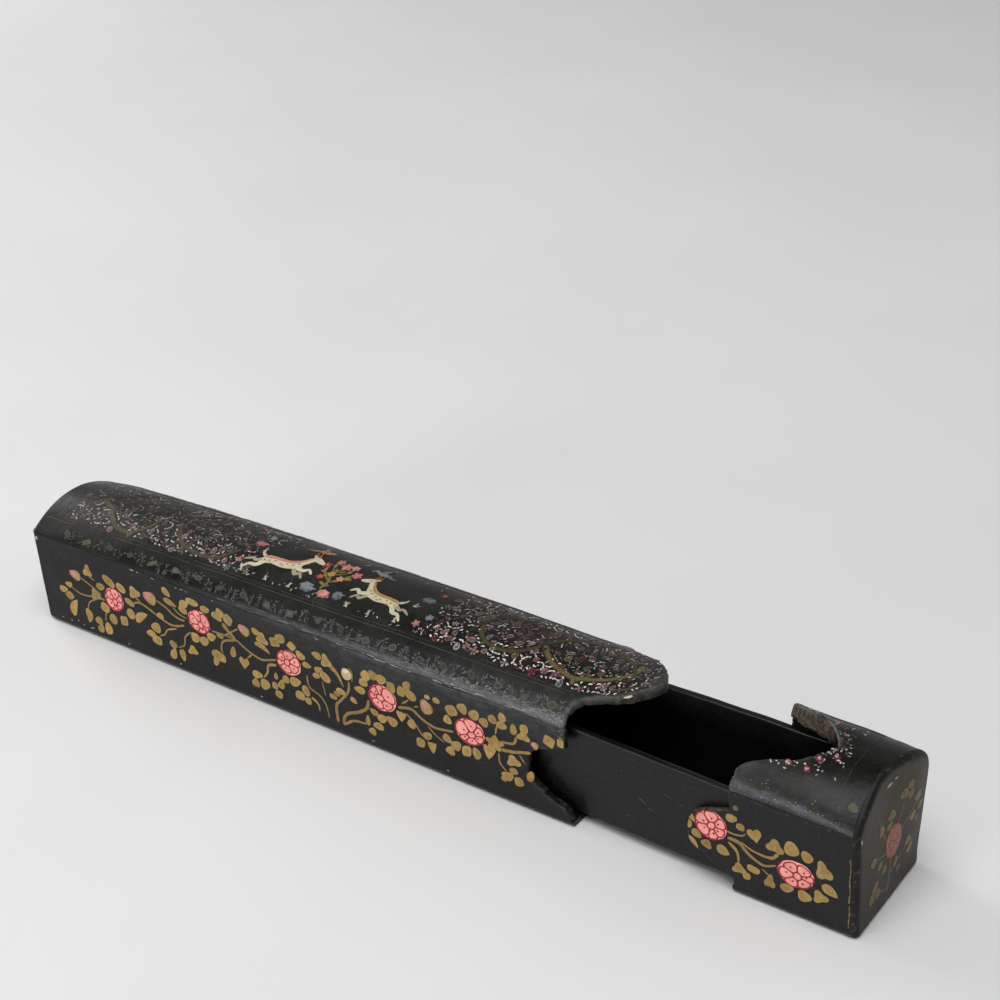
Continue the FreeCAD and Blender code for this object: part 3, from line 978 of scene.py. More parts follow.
def mixc(a, b, t):
    return tuple(a[i] + (b[i] - a[i]) * t for i in range(3)) + (1.0,)


OCHRE = lin(167, 140, 86)
OCHRE_D = lin(128, 102, 54)
STEM = lin(150, 122, 70)
GREYSTEM = lin(110, 102, 70)
CRIMSON = lin(160, 24, 46)
PINK = lin(239, 160, 152)
PINK_L = lin(243, 184, 176)
PALE = lin(196, 156, 132)
FQ = np.linspace(0, 2 * math.pi, 20, endpoint=False)


def vine_leaf(P, at, x, z, w, h, kind="o", ang=0.0, tone=1.0):
    """One flat dab of ochre, a little warmer in the middle, with a dark rim."""
    k = tone * rng.uniform(0.80, 1.10)
    ol = rng.uniform(0.0, 1.0)
    x += DX
    w, h = 0.97 * w, 0.97 * h
    if kind == "o":
        q = rng.random()
        if max(w, h) > 3.1 and q < 0.55:
            a = lobed(x, z, w * 1.12, h * 1.12, rng.uniform(-30, 30), rng.choice((2, 3, 3, 4)), rng.uniform(0.05, 0.12), rng.uniform(0, 90))
        elif q < 0.72:
            e = rng.uniform(0.62, 0.85)
            a = turn(np.stack([w / 2 * 1.03 * np.sign(np.cos(FQ)) * np.abs(np.cos(FQ)) ** e * (1 + rng.uniform(-0.14, 0.14) * np.sin(FQ)),
                               h / 2 * 1.03 * np.sign(np.sin(FQ)) * np.abs(np.sin(FQ)) ** e * (1 + rng.uniform(-0.14, 0.14) * np.cos(FQ))], 1), rng.uniform(-18, 18), (x, z))
        else:
            a = blob(x, z, w, h, 0, rng.uniform(-0.3, 0.3), 18, 0.07)
    elif kind == "l":
        a = leaf_shape(x, z, w, h, ang, rng.uniform(-0.08, 0.08))
    elif kind == "c":
        a = leaf_shape(x, z, w, h, ang, 0.22)
    elif kind == "h":
        a = heart(x, z, w, h, ang)
    elif kind == "t":
        a = lobed(x, z, w * 1.15, h * 1.15, ang, 3, 0.2)
    elif kind == "v":
        # flat top, three teeth, point below
        a = turn(np.array([(-0.5, 0.34), (-0.30, 0.42), (-0.16, 0.34), (0.0, 0.46), (0.16, 0.34), (0.32, 0.42), (0.5, 0.32), (0.42, 0.04), (0.22, -0.30), (0.02, -0.52), (-0.20, -0.30), (-0.42, 0.02)]) * np.array([w, h]), ang, (x, z))
    elif kind == "q":
        a = turn(np.stack([w / 2 * 1.1 * np.sign(np.cos(FQ)) * np.abs(np.cos(FQ)) ** 0.45, h / 2 * 1.1 * np.sign(np.sin(FQ)) * np.abs(np.sin(FQ)) ** 0.45], 1), ang, (x, z))
    else:
        a = lobed(x, z, w * 1.12, h * 1.12, ang, 5, 0.2)
    c = a.mean(0)
    d = np.hypot(*(a - c).T).max()
    warm = (1.02 - 0.20 * ol, 0.88 - 0.06 * ol, 0.62) if kind != "s" else (1.12, 0.80, 0.45)
    st = 1.6 if max(w, h) > 4.4 else None
    P.poly(c + (a - c) * (1 + 0.07 / d), at, shade(OCHRE_D, k * 0.55), 0.035, st)
    P.poly(a, at, shade(OCHRE, k), 0.080, st)
    if max(w, h) > 2.2:
        o = np.array([rng.uniform(-0.1, 0.1) * w, rng.uniform(-0.1, 0.1) * h])
        m = tuple(OCHRE[i] * k * warm[i] * rng.uniform(0.97, 1.03) for i in range(3)) + (1.0,)
        P.poly(c + (a - c) * rng.uniform(0.5, 0.7) + o, at, m, 0.125, st)
        if max(w, h) > 3.0:
            # one loaded brush mark and one thin one
            o = np.array([rng.uniform(-0.16, 0.16) * w, rng.uniform(-0.16, 0.16) * h])
            P.poly(c + (a - c) * np.array([0.22, 0.34]) + o, at, shade(OCHRE, k * rng.choice((0.72, 0.8, 0.86, 1.10, 1.14))), 0.165)


def rose(P, at, x, z, w, h, ang=0.0, muted=1.0, n=None, line=0.52, warm=(1.0, 1.0, 1.0), ink=0.0):
    """Round flower: a pale ground, six or seven unequal petals about a small eye, crimson lines, a dot in each petal."""
    x += DX
    w, h = 0.97 * w, 0.97 * h
    n = n or rng.choice((6, 6, 6, 7))
    cr, pk, pl = [tuple(min(1, c[i] * muted * warm[i]) for i in range(3)) + (1.0,) for c in (mixc(CRIMSON, PINK, ink), PINK, PINK_L)]
    lu = line / ((w + h) / 4)

    def put(q, col, lift, step=1.3):
        P.poly(turn(np.asarray(q) * np.array([w / 2, h / 2]), ang, (x, z)), at, col, lift, step, True)
    j = np.array([rng.uniform(-0.20, 0.16), rng.uniform(-0.24, 0.06)])
    sizes = [rng.uniform(0.55, 1.6) for _ in range(n)]
    cuts = np.concatenate([[0], np.cumsum(sizes)]) / sum(sizes) * 2 * math.pi + rng.uniform(0, 6.28)
    # the outline bulges a little with every petal
    f = np.linspace(0, 2 * math.pi, 60, endpoint=False)
    wob = 1 + 0.008 * np.sin(9 * f + rng.uniform(0, 6))
    for i in range(n):
        th, half = (cuts[i] + cuts[i + 1]) / 2, (cuts[i + 1] - cuts[i]) / 2
        d = np.abs((f - th + math.pi) % (2 * math.pi) - math.pi) / half
        wob = wob + np.where(d < 1, 0.045 * (1 - d ** 2), 0) - 0.012
    rim = np.stack([np.cos(f) * wob, np.sin(f) * wob], 1) * 0.985
    put(rim * (1 + 0.10 / ((w + h) / 4)), shade(cr, 0.55), 0.070)
    put(rim, cr, 0.086)
    put(rim * 0.965 + np.array([0.035, 0.025]), pl, 0.096)
    g = np.linspace(0, 2 * math.pi, 28, endpoint=False)
    sg, cg = np.sign(np.sin(g)) * np.abs(np.sin(g)) ** 0.62, np.sign(np.cos(g)) * np.abs(np.cos(g)) ** 0.66
    side = turn([(1.0, 0.0)], rng.choice((50, 60, 130, 240, 300)))[0]

    def reach(t):
        d = np.stack([np.cos(t), np.sin(t)], -1)
        jd = d @ j
        return (-jd + np.sqrt(jd ** 2 - j @ j + 1)) * (1 - 0.07 * np.clip(d @ side, 0, 1))

    def cell(th, half, ro, grow):
        q = 0.5 + 0.5 * cg
        t = np.full(len(g), th)
        for _ in range(3):
            lo, hi = 0.20 - grow, ro * reach(t) + grow
            r = lo + (hi - lo) * q
            t = th + np.maximum(half + grow / np.maximum(r, 0.2), 0.1) * sg
        return j + np.stack([np.cos(t), np.sin(t)], 1) * r[:, None]
    dots = []
    for i in range(n):
        th, half = (cuts[i] + cuts[i + 1]) / 2, (cuts[i + 1] - cuts[i]) / 2
        ro = rng.uniform(0.86, 0.945)
        put(cell(th, half, ro, lu * 0.46), cr, 0.104 + 0.002 * i)
        put(cell(th, half, ro, -lu * 0.46), shade(pk, rng.uniform(0.92, 1.06)), 0.134)
        tt = th + rng.uniform(-0.15, 0.15)
        m = rng.uniform(0.46, 0.60) * float(reach(np.array(tt)))
        dots.append((j[0] + math.cos(tt) * m, j[1] + math.sin(tt) * m, tt))
    eye = turn(np.stack([0.27 * np.cos(g), 0.215 * np.sin(g)], 1), rng.uniform(0, 180))
    put(j + eye * (1 + lu * 0.45 / 0.24), cr, 0.150)
    put(j + eye * (1 - lu * 0.5 / 0.24), pk, 0.166)
    for u, v, tt in dots:
        c = turn(np.array([(u * w / 2, v * h / 2)]), ang, (x, z))[0]
        P.poly(blob(c[0], c[1], rng.uniform(0.6, 1.0), rng.uniform(0.5, 0.66), math.degrees(tt) + rng.uniform(-30, 30), 0.2, 9), at, shade(cr, 0.7), 0.180, None, True)


def bud(P, at, x, z, w, h, ang=0.0, tip=None, base=None):
    """Closed flower: ochre cup, dusty pink petals in two or three strokes."""
    x += DX
    tip = tip or lin(196, 132, 122)
    base = base or OCHRE
    P.poly(leaf_shape(x, z, w, h * 0.95, ang + 180), at, shade(base, 0.62), 0.05)
    for o, k, l in ((0.16, 1.0, 0.72), (-0.16, 0.82, 0.70), (0.0, 1.12, 0.52)):
        d = turn([(-0.12 * w, o * h)], ang, (x, z))[0]
        P.poly(leaf_shape(d[0], d[1], w * l, h * 0.42, ang + 180 + o * 40), at, shade(tip, k * rng.uniform(0.85, 1.0)), 0.09 + 0.02 * (o == 0))
    d = turn([(0.24 * w, 0)], ang, (x, z))[0]
    P.poly(lobed(d[0], d[1], w * 0.5, h * 0.8, ang, 3, 0.14, 90), at, shade(base, 0.95), 0.14)


LEAVES = [
    (-86.4, 25.8, 4.2, 4.7, "t", 0), (-76.7, 25.1, 5.5, 3.4), (-71.3, 24.2, 4.2, 3), (-81, 21.6, 3.9, 2.9),
    (-98.9, 15, 4.4, 2.8, "l", 15), (-96, 17.7, 3.2, 2.2), (-96.3, 13.2, 3.9, 3), (-83.7, 17.5, 4.6, 4.4, "t", 20),
    (-79.7, 13.8, 4.1, 3.6), (-67.8, 19.9, 4.2, 2.8), (-67.8, 15.3, 3.6, 3.9), (-76.3, 10.4, 3.6, 4), (-71.3, 11.4, 3.5, 4.2),
    (-94.2, 8.9, 8, 3.4, "c", 70), (-88.4, 7.8, 6, 3.3, "c", -88), (-83.4, 7.4, 3.8, 2.9), (-82.8, 4.6, 3.9, 2.9, "l", 60),
    (-79.1, 5.6, 3.4, 5.2), (-65.3, 24.4, 5, 4.6, "t", 30), (-62.8, 15.3, 7.5, 3.2, "c", 40), (-56.7, 13.8, 4.7, 3.7),
    (-59.2, 10.6, 4, 3), (-56.7, 8.9, 4.2, 3.4), (-54.1, 19.2, 2.8, 2.2), (-50.6, 29.4, 4.4, 2.8, "l", -35),
    (-49.3, 25.8, 6.2, 2.4, "l", -12), (-49.5, 9.6, 3.4, 2.8), (-49.7, 6.1, 5, 3, "l", 70), (-45.6, 6.9, 2.7, 4.4),
    (-40.8, 10.3, 4.4, 3.6, "t", 10), (-43.1, 27.5, 3.9, 2.8), (-43.7, 25, 4.2, 2.5), (-39.2, 29.4, 5.4, 2.8),
    (-33.9, 28.4, 4.2, 2.6), (-39.2, 15.8, 3.6, 3.6), (-35.4, 15.8, 3.9, 3.6), (-32, 18.6, 4.4, 3.2, "l", 25),
    (-28.9, 27.5, 4.4, 2.5), (-27.5, 29.2, 3.3, 2.8), (-24.2, 27.8, 3.9, 3.9), (-28.1, 20.4, 2.8, 2.2), (-30.3, 12.5, 4.7, 3.3),
    (-28.1, 11.7, 3, 3.3), (-30.8, 9.7, 2.5, 3.3), (-23.2, 16, 4.6, 2.5, "l", 80), (-18.6, 13.1, 4.4, 4.6, "h", 0),
    (-12.8, 27.2, 3.3, 2.5), (-10.3, 25.3, 5, 4.4, "t", 0), (-10.5, 21.7, 7, 2, "c", -18), (-5, 26.1, 4.4, 3.6),
    (-2.7, 28.1, 4, 3.2), (1.9, 26.9, 3.4, 3), (5.3, 24.6, 3.9, 2.8), (7.8, 21.8, 3.9, 2.3, "l", 0), (-13.3, 10.8, 4.4, 3),
    (-14.2, 7.3, 3.1, 3.4), (-10.3, 8.1, 4, 4.4), (-5.4, 13.1, 2.8, 1.7, "l", 90), (-6.1, 9.2, 2.4, 2.7), (-3.3, 10.6, 2.7, 3.9),
    (-4.6, 6.4, 3.1, 2.8), (-1.3, 13.3, 3.1, 2.8), (2.7, 13.8, 5.2, 3.6, "l", 20), (6.8, 11.9, 3.4, 3.6), (4.3, 9.3, 3.8, 3.3),
    (7.5, 8.3, 2.5, 2.5), (11.9, 27, 4.2, 2.7, "l", 170), (15.6, 26.1, 4.4, 4.8, "t", 15), (12.5, 21.9, 3.3, 2), (15, 20, 4.2, 3.6),
    (11.4, 19.4, 2.8, 2), (21.1, 16.9, 3.6, 2.5), (19.4, 15.6, 2.5, 2), (17.9, 13.8, 3, 1.8), (26.1, 15.4, 3.1, 2, "l", -30),
    (28.6, 20.4, 4.6, 2.8, "l", 180), (31.4, 10, 4.2, 1.9, "l", 90), (35.4, 9.3, 4, 2.9), (32.9, 6.4, 2.9, 2.8),
    (31.1, 26.4, 3.6, 3.6), (30.1, 23.6, 3.3, 2.8), (33.9, 27.5, 3.4, 3.3), (37.1, 27.2, 3.9, 3.6), (40.8, 25.7, 3.1, 3.9),
    (33.9, 14, 3.3, 2.2), (36.9, 12.7, 3.6, 2.9), (40.8, 13.1, 4.4, 3.3),
    (44.7, 25.6, 3, 3.6), (46.7, 28.4, 3, 3.6), (48.3, 25.4, 4, 3.4), (57.8, 27.2, 2.5, 2), (54.4, 27.2, 2, 1.5),
    (44.4, 16.4, 3.9, 3.9, "v", 0), (48.2, 15, 3.4, 3.3), (54.1, 12.9, 3.6, 2.5), (51.5, 9.3, 3.2, 3.2), (55.9, 9.2, 3.4, 4.4, "v", 8),
    (61.5, 14.7, 3.4, 2.8), (64.9, 13.4, 4, 3.4), (62.7, 10.7, 3.6, 3.2), (63.3, 25.6, 4.2, 4), (67.2, 27.8, 3.6, 3.9),
    (71.6, 27.1, 3.8, 3.4), (75.1, 25.8, 3.2, 3.2), (61.8, 21.7, 3.2, 3), (68.7, 12.9, 3.4, 4.2), (72.5, 13.4, 3.2, 4.2),
    (78.9, 19.7, 6.6, 5.5, "s", 0), (76.9, 15.8, 4.7, 5.4, "v", -6), (78.2, 28.1, 3, 3.4), (81.7, 30, 3, 2.9), (81.4, 27.1, 3.6, 2.7),
    (85.7, 27.2, 2.7, 3.6), (89.3, 28.9, 2.9, 2.8), (89.2, 26.1, 4.7, 3.6, "t", 0), (98.1, 27.9, 3.6, 3.2, "q", -14), (102.1, 28.8, 2.2, 2.6, "q", 0),
    (85.6, 15.8, 5.2, 4, "t", 20), (85.7, 12.3, 3.3, 2.3), (83.6, 9.7, 4.2, 3.3), (87.6, 9.2, 3.3, 3.2), (82.2, 8.1, 2, 1.5),
]
STEMS = [
    ([(-79.5, 16.7), (-83.1, 16.7), (-87.6, 15.8), (-90.9, 15.6), (-93.7, 16.4), (-95.3, 17.3)], 0.9, 0.5),
    ([(-81.2, 18.3), (-84.8, 20.1), (-88.1, 21.4), (-90.6, 22.2)], 0.9, 0.6), ([(-83.4, 23.1), (-85.9, 23.9)], 0.7, 0.5),
    ([(-83.1, 16.1), (-87, 13.5), (-88.4, 10)], 0.8, 0.5), ([(-78.4, 13.1), (-79.8, 11.1), (-80.1, 8.3)], 0.8, 0.5),
    ([(-66.4, 18.3), (-65.6, 20.3), (-62.6, 21.1), (-58.7, 20), (-54.2, 18.3), (-49.8, 17.2), (-46.4, 17.8), (-43.9, 18.9)], 0.8, 1.0),
    ([(-65.3, 23.1), (-62.6, 21.4)], 0.9, 0.7), ([(-55.4, 24.6), (-51.4, 23.3), (-48.7, 21.7), (-45.9, 20.7), (-43.4, 20.8)], 0.7, 0.9),
    ([(-48.1, 24.4), (-45.9, 22.8), (-42.6, 21.9)], 0.7, 0.7), ([(-47.3, 16.4), (-51.4, 14.7), (-53.1, 12.2), (-55.3, 11.1)], 0.9, 0.6),
    ([(-41.2, 17.2), (-43.9, 14.4), (-44.5, 11.1), (-47.3, 9.2)], 0.9, 0.6), ([(-26.7, 25.6), (-24, 23), (-21.7, 21.7)], 2.2, 1.0),
    ([(-31.6, 21.0), (-26.7, 21.3), (-21.7, 21.1), (-17.8, 19.2), (-15, 18.1), (-11.1, 17.3), (-7.8, 18.3), (-5, 19.3)], 0.8, 1.0),
    ([(-20.4, 25.6), (-23.6, 23.2), (-26, 21.4)], 0.7, 0.6), ([(-15, 17.8), (-17.2, 15.6)], 0.9, 0.7),
    ([(-21.7, 20.8), (-26.7, 18.9), (-28.1, 16.1), (-27.8, 12.8)], 1.2, 0.7), ([(-5, 17.3), (-8.3, 16.1), (-8.9, 13.3), (-10.6, 10.6)], 1.4, 0.8),
    ([(8.9, 10.3), (11.5, 8.5), (12, 6.1)], 1.6, 0.6), ([(17.2, 25), (20, 22.8), (22.2, 18.9)], 2.4, 0.5),
    ([(13.6, 17.8), (14.3, 15.0), (14.7, 12.8)], 0.5, 0.4), ([(24.4, 21.7), (23.9, 17.8), (20.6, 13.3), (18.9, 10.6), (19.3, 4.7)], 1.1, 1.4),
    ([(31.9, 17.8), (31.1, 14.4), (27.8, 11.7), (23.3, 9.4), (21.7, 6.7), (21.9, 4.4)], 1.4, 1.4), ([(22.2, 5), (25.6, 7.5), (30.6, 8.3)], 1.3, 0.9),
    ([(7.5, 18.1), (8.3, 13.9), (12.2, 12.2), (14.7, 9.4), (15.8, 5)], 0.8, 0.6), ([(47.2, 23.3), (44.7, 21.1)], 1.0, 0.7),
    ([(43.2, 19.2), (48.3, 20.4), (52.2, 18.3), (56.7, 16.9), (61.1, 17.5), (63.9, 18.1)], 1.3, 1.0), ([(49.4, 21.7), (51.1, 22.5)], 0.8, 0.6),
    ([(46.1, 18.1), (49.2, 15.8), (52.2, 12.2), (54.4, 11.1)], 0.8, 0.6), ([(54.4, 16.4), (57.2, 14.2), (60.3, 12.8)], 0.6, 0.5),
    ([(79.7, 26.1), (79.2, 23.1)], 0.9, 0.7), ([(86.7, 25), (85.6, 22.2), (81.1, 21.1)], 1.2, 0.9),
    ([(81.1, 18.3), (85.6, 19.2), (88.9, 20.4), (92.0, 21.5)], 1.5, 1.1), ([(87.8, 18.9), (90, 16.7)], 0.8, 0.6),
    ([(80.3, 16.7), (80.8, 13.3), (83.3, 11.1)], 0.8, 0.6),
]
ROSES = [(-75.05, 18.6, 9.2, 9.9, -10), (-37, 22.7, 10.4, 9.4, 0), (0.3, 20.1, 10.8, 10, 0), (37.3, 20.4, 11.6, 10.4, 0), (69.9, 20.4, 11.7, 10.1, 0)]
CAP_LEAVES = [
    (144.9, 20.6, 4.5, 2, "c", -40), (144.5, 18.1, 2.4, 3), (147.4, 15.6, 3.8, 2.8, "l", -30), (145.9, 11.7, 6, 2.4, "c", -42),
    (150.6, 13.3, 3.4, 3), (155.9, 13.3, 4.5, 3.4, "l", -20), (157.8, 25.3, 3.6, 2.9), (160.7, 23.4, 2.6, 2.4),
    (165.3, 22.1, 4.8, 4.8, "h", 20), (171.5, 21.3, 5.4, 4.8, "t", 0), (176.5, 22.6, 5, 4.6), (181.2, 21.9, 3.8, 3.7),
    (186.3, 19.2, 5, 6.2, "t", 20), (188.6, 13.5, 5.6, 3.4, "l", -25), (185.9, 10.2, 4.8, 4.2, "t", 30), (181.3, 8.5, 4.4, 3.5),
    (175.9, 9, 4, 2.8), (161.1, 9.2, 4.4, 3.8, "t", 10), (163.6, 7.7, 2.4, 2.4), (165.5, 10.8, 4, 2.3), (170.7, 8.8, 3.5, 4.6, "t", 0, 0.75),
]
CAP_STEMS = [
    ([(156.6, 20.4), (158.6, 20.1), (161.3, 20.6), (162.4, 21.7)], 0.8, 0.6), ([(172.6, 19.2), (170.5, 16.9), (165.1, 16.9), (161, 18.4)], 1.4, 0.5),
    ([(157, 18.2), (160.5, 17.9), (163, 15.8), (165.9, 14.2), (168.8, 13.5), (172.2, 15)], 1.6, 0.8),
    ([(157.3, 16.8), (160.1, 14.6), (160.9, 11)], 1.4, 0.8), ([(168.0, 12.2), (170.7, 10.5)], 0.5, 0.4),
]
CAP_ROSES = [(151.6, 20.3, 11, 10.7, 0), (178.2, 14.7, 12.2, 9.6, 0)]


def spray(P, at, leaves, stems, roses, keep=lambda x, z, r: True):
    for pts, w0, w1 in stems:
        if all(keep(x + DX, z, 0.6) for x, z in pts):
            P.stroke([(x + DX, z) for x, z in pts], w0 * 0.8, w1 * 0.8, at, shade(STEM, rng.uniform(0.82, 1.05)), 0.022)
    for it in leaves:
        if keep(it[0] + DX, it[1], max(it[2:4]) * 0.62):
            vine_leaf(P, at, *it)
    for it in roses:
        if keep(it[0] + DX, it[1], max(it[2:4]) * 0.55):
            rose(P, at, *it)


# near wall
P = Paint()
spray(P, near_at, LEAVES, STEMS, ROSES, lambda x, z, r: x + r * 0.6 < XM - SEAM + float(bracket(z)) + 0.6)
for x, z, w, h, a in ((-92.6, 22.5, 5.5, 4.2, -8), (-58.4, 24.7, 6.2, 5.2, -12), (-17.8, 26.1, 5.2, 4.2, -25)):
    bud(P, near_at, x, z, w, h, a)
bud(P, near_at, 53.9, 23.4, 5.6, 5.0, -60, lin(190, 140, 120))
bud(P, near_at, 93.2, 24.6, 2.9, 2.4, -10)
P.poly(blob(23.6 + DX, 24.2, 4.2, 4.0, 20, 0.2), near_at, lin(196, 174, 134), 0.08)
P.poly(blob(23.3 + DX, 25.2, 2.4, 1.3, 20), near_at, lin(226, 212, 190), 0.14)
P.stroke([(24.4 + DX, 26.9), (25.8 + DX, 25.3), (25.6 + DX, 22)], 0.7, 0.5, near_at, lin(110, 108, 66), 0.1)
# the last leaf is cut by the notch
P.poly(blob(91.9 + DX, 12.9, 2.6, 4.2, -25, 0.1), near_at, lin(150, 118, 62), 0.05)
P.poly(blob(91.6 + DX, 13.3, 1.8, 3.0, -25, 0.1), near_at, lin(176, 136, 70), 0.1)
for q in (-0.7, 0.1, 0.8):
    P.stroke([(91.2 + DX, 13.2 + q), (91.9 + DX, 13.0 + 1.2 * q)], 0.34, 0.2, near_at, lin(84, 56, 26), 0.13)
P.done("near_wall_vine", "sleeve", "sleeve_lacquer", M_PAINT)

# far wall: the same kind of vine, running the other way
P = Paint()
mir = lambda q: (-q[0] - 5.0,) + tuple(q[1:])
spray(P, far_at, [mir(q) for q in LEAVES], [([mir(p) for p in s[0]], s[1], s[2]) for s in STEMS], [mir(q) for q in ROSES],
      lambda x, z, r: XL - 1.0 + r < x < XM - SEAM + float(bracket(z)) - r)
for x, z, w, h, a in ((87.6, 22.5, 5.5, 4.2, 188), (53.4, 24.7, 6.2, 5.2, 192), (12.8, 26.1, 5.2, 4.2, 205)):
    bud(P, far_at, x, z, w, h, a)
P.done("far_wall_vine", "sleeve", "sleeve_lacquer", M_PAINT)

# cap walls: the strokes at the end of the bracket tongue stop at its cut edge
def trim_cap(pts):
    top, ear = 27.3 - 0.4, XC + SEAM - 2.25
    edge = lambda z: XC + SEAM + _br(np.minimum(z, top)) + 0.55
    over = lambda q: (q[:, 0] < edge(q[:, 1])) | ((q[:, 1] > top) & (q[:, 0] < ear))
    if not over(pts).any():
        return pts
    q = []
    for a, b in zip(pts, np.roll(pts, -1, 0)):
        n = max(1, int(np.linalg.norm(b - a) / 0.2))
        q += [a + (b - a) * i / n for i in range(n)]
    q = np.array(q)
    q[:, 1] = np.where((q[:, 1] > top) & (q[:, 0] < ear), top, q[:, 1])
    q[:, 0] = np.maximum(q[:, 0], edge(q[:, 1]))
    keep = [q[0]]
    for p in q[1:]:
        if np.linalg.norm(p - keep[-1]) > 0.06:
            keep.append(p)
    q = np.array(keep)
    if len(q) > 3 and np.linalg.norm(q[0] - q[-1]) < 0.06:
        q = q[:-1]
    # runs that fold back along the edge are dropped
    while True:
        d, e = q - np.roll(q, 1, 0), np.roll(q, -1, 0) - q
        fold = np.sum(d * e, 1) < -0.9 * np.linalg.norm(d, axis=1) * np.linalg.norm(e, axis=1)
        if not fold.any() or len(q) < 4:
            break
        q = np.delete(q, np.argmax(fold), 0)
    area = abs(np.sum(q[:, 0] * np.roll(q[:, 1], -1) - np.roll(q[:, 0], -1) * q[:, 1])) / 2
    return q if area > 0.4 else q[:0]


P = Paint()
P.trim = trim_cap
spray(P, near_at, CAP_LEAVES, CAP_STEMS, CAP_ROSES)
P.poly(blob(159.0 + DX, 29.2, 1.8, 1.6), near_at, lin(96, 100, 66), 0.04)
z = 26.4
while z > 3.4:
    l = rng.uniform(0.7, 2.8)
    f = lambda q: 194.5 + (29.6 - q) / 26.3 * 1.3 + DX - 0.9 + 0.12 * math.sin(q * 0.9)
    P.stroke([(f(z), z), (f(z - l / 2), z - l / 2), (f(z - l), z - l)], rng.uniform(0.25, 0.5), rng.uniform(0.2, 0.5), near_at, shade(lin(128, 112, 76), rng.uniform(0.35, 1.0)), 0.03)
    z -= l + rng.choice((0.0, 0.1, 0.2, 0.8))
P.done("cap_near_vine", "drawer", "cap_lacquer", M_PAINT)
P = Paint()
P.trim = trim_cap
spray(P, far_at, CAP_LEAVES, CAP_STEMS, CAP_ROSES, lambda x, z, r: x + 0.3 * r < 196.0)
P.done("cap_far_vine", "drawer", "cap_lacquer", M_PAINT)

# --- domed top
def in_top(x, s, r=0.8):
    return x < XM - SEAM + float(ogee(dome_frame(s)[0])) - r


def fore_aft(P, pts, w0, w1, at, col, lift, dim=0.6):
    """Draws a stroke on the near half and its mirror, fainter, on the far half, where the dimming stands in for the
    sheen that washes out the far side.
    """
    P.stroke(pts, w0, w1, at, col, lift)
    P.stroke([(x, ARC - s) for x, s in pts], w0, w1, at, shade(col, dim), lift)


def comma(P, x, s, l, w, a, col, at, lift=0.035):
    t = np.array([0, 0.35, 0.75, 1.0])
    h = np.array([0.25, 0.5, 0.42, 0.1]) * w
    b = 0.18 * l * np.sin(math.pi * t)
    up = np.stack([(t - 0.5) * l, b + h], 1)
    dn = np.stack([(t - 0.5) * l, b - h], 1)[::-1]
    P.poly(turn(np.concatenate([up, dn]), a, (x, s)), at, col, lift)


P = Paint()
for s, w, c in ((9.8, 0.34, lin(56, 52, 36)), (10.9, 0.30, lin(48, 44, 31))):
    for q in (s, ARC - s):
        x = XL - 0.5
        while x < XM + 14:
            x1 = x + rng.uniform(5, 16)
            seg = [(x, q + rng.uniform(-0.1, 0.1)), ((x + x1) / 2, q + rng.uniform(-0.12, 0.12)), (x1, q + rng.uniform(-0.1, 0.1))]
            if in_top(x1, q) and rng.random() < 0.9:
                P.stroke(seg, w, w * rng.uniform(0.6, 1.1), dome_at, shade(c, rng.uniform(0.6, 1.15)), 0.05, 2.0)
            x = x1 + rng.uniform(-0.3, 0.3)


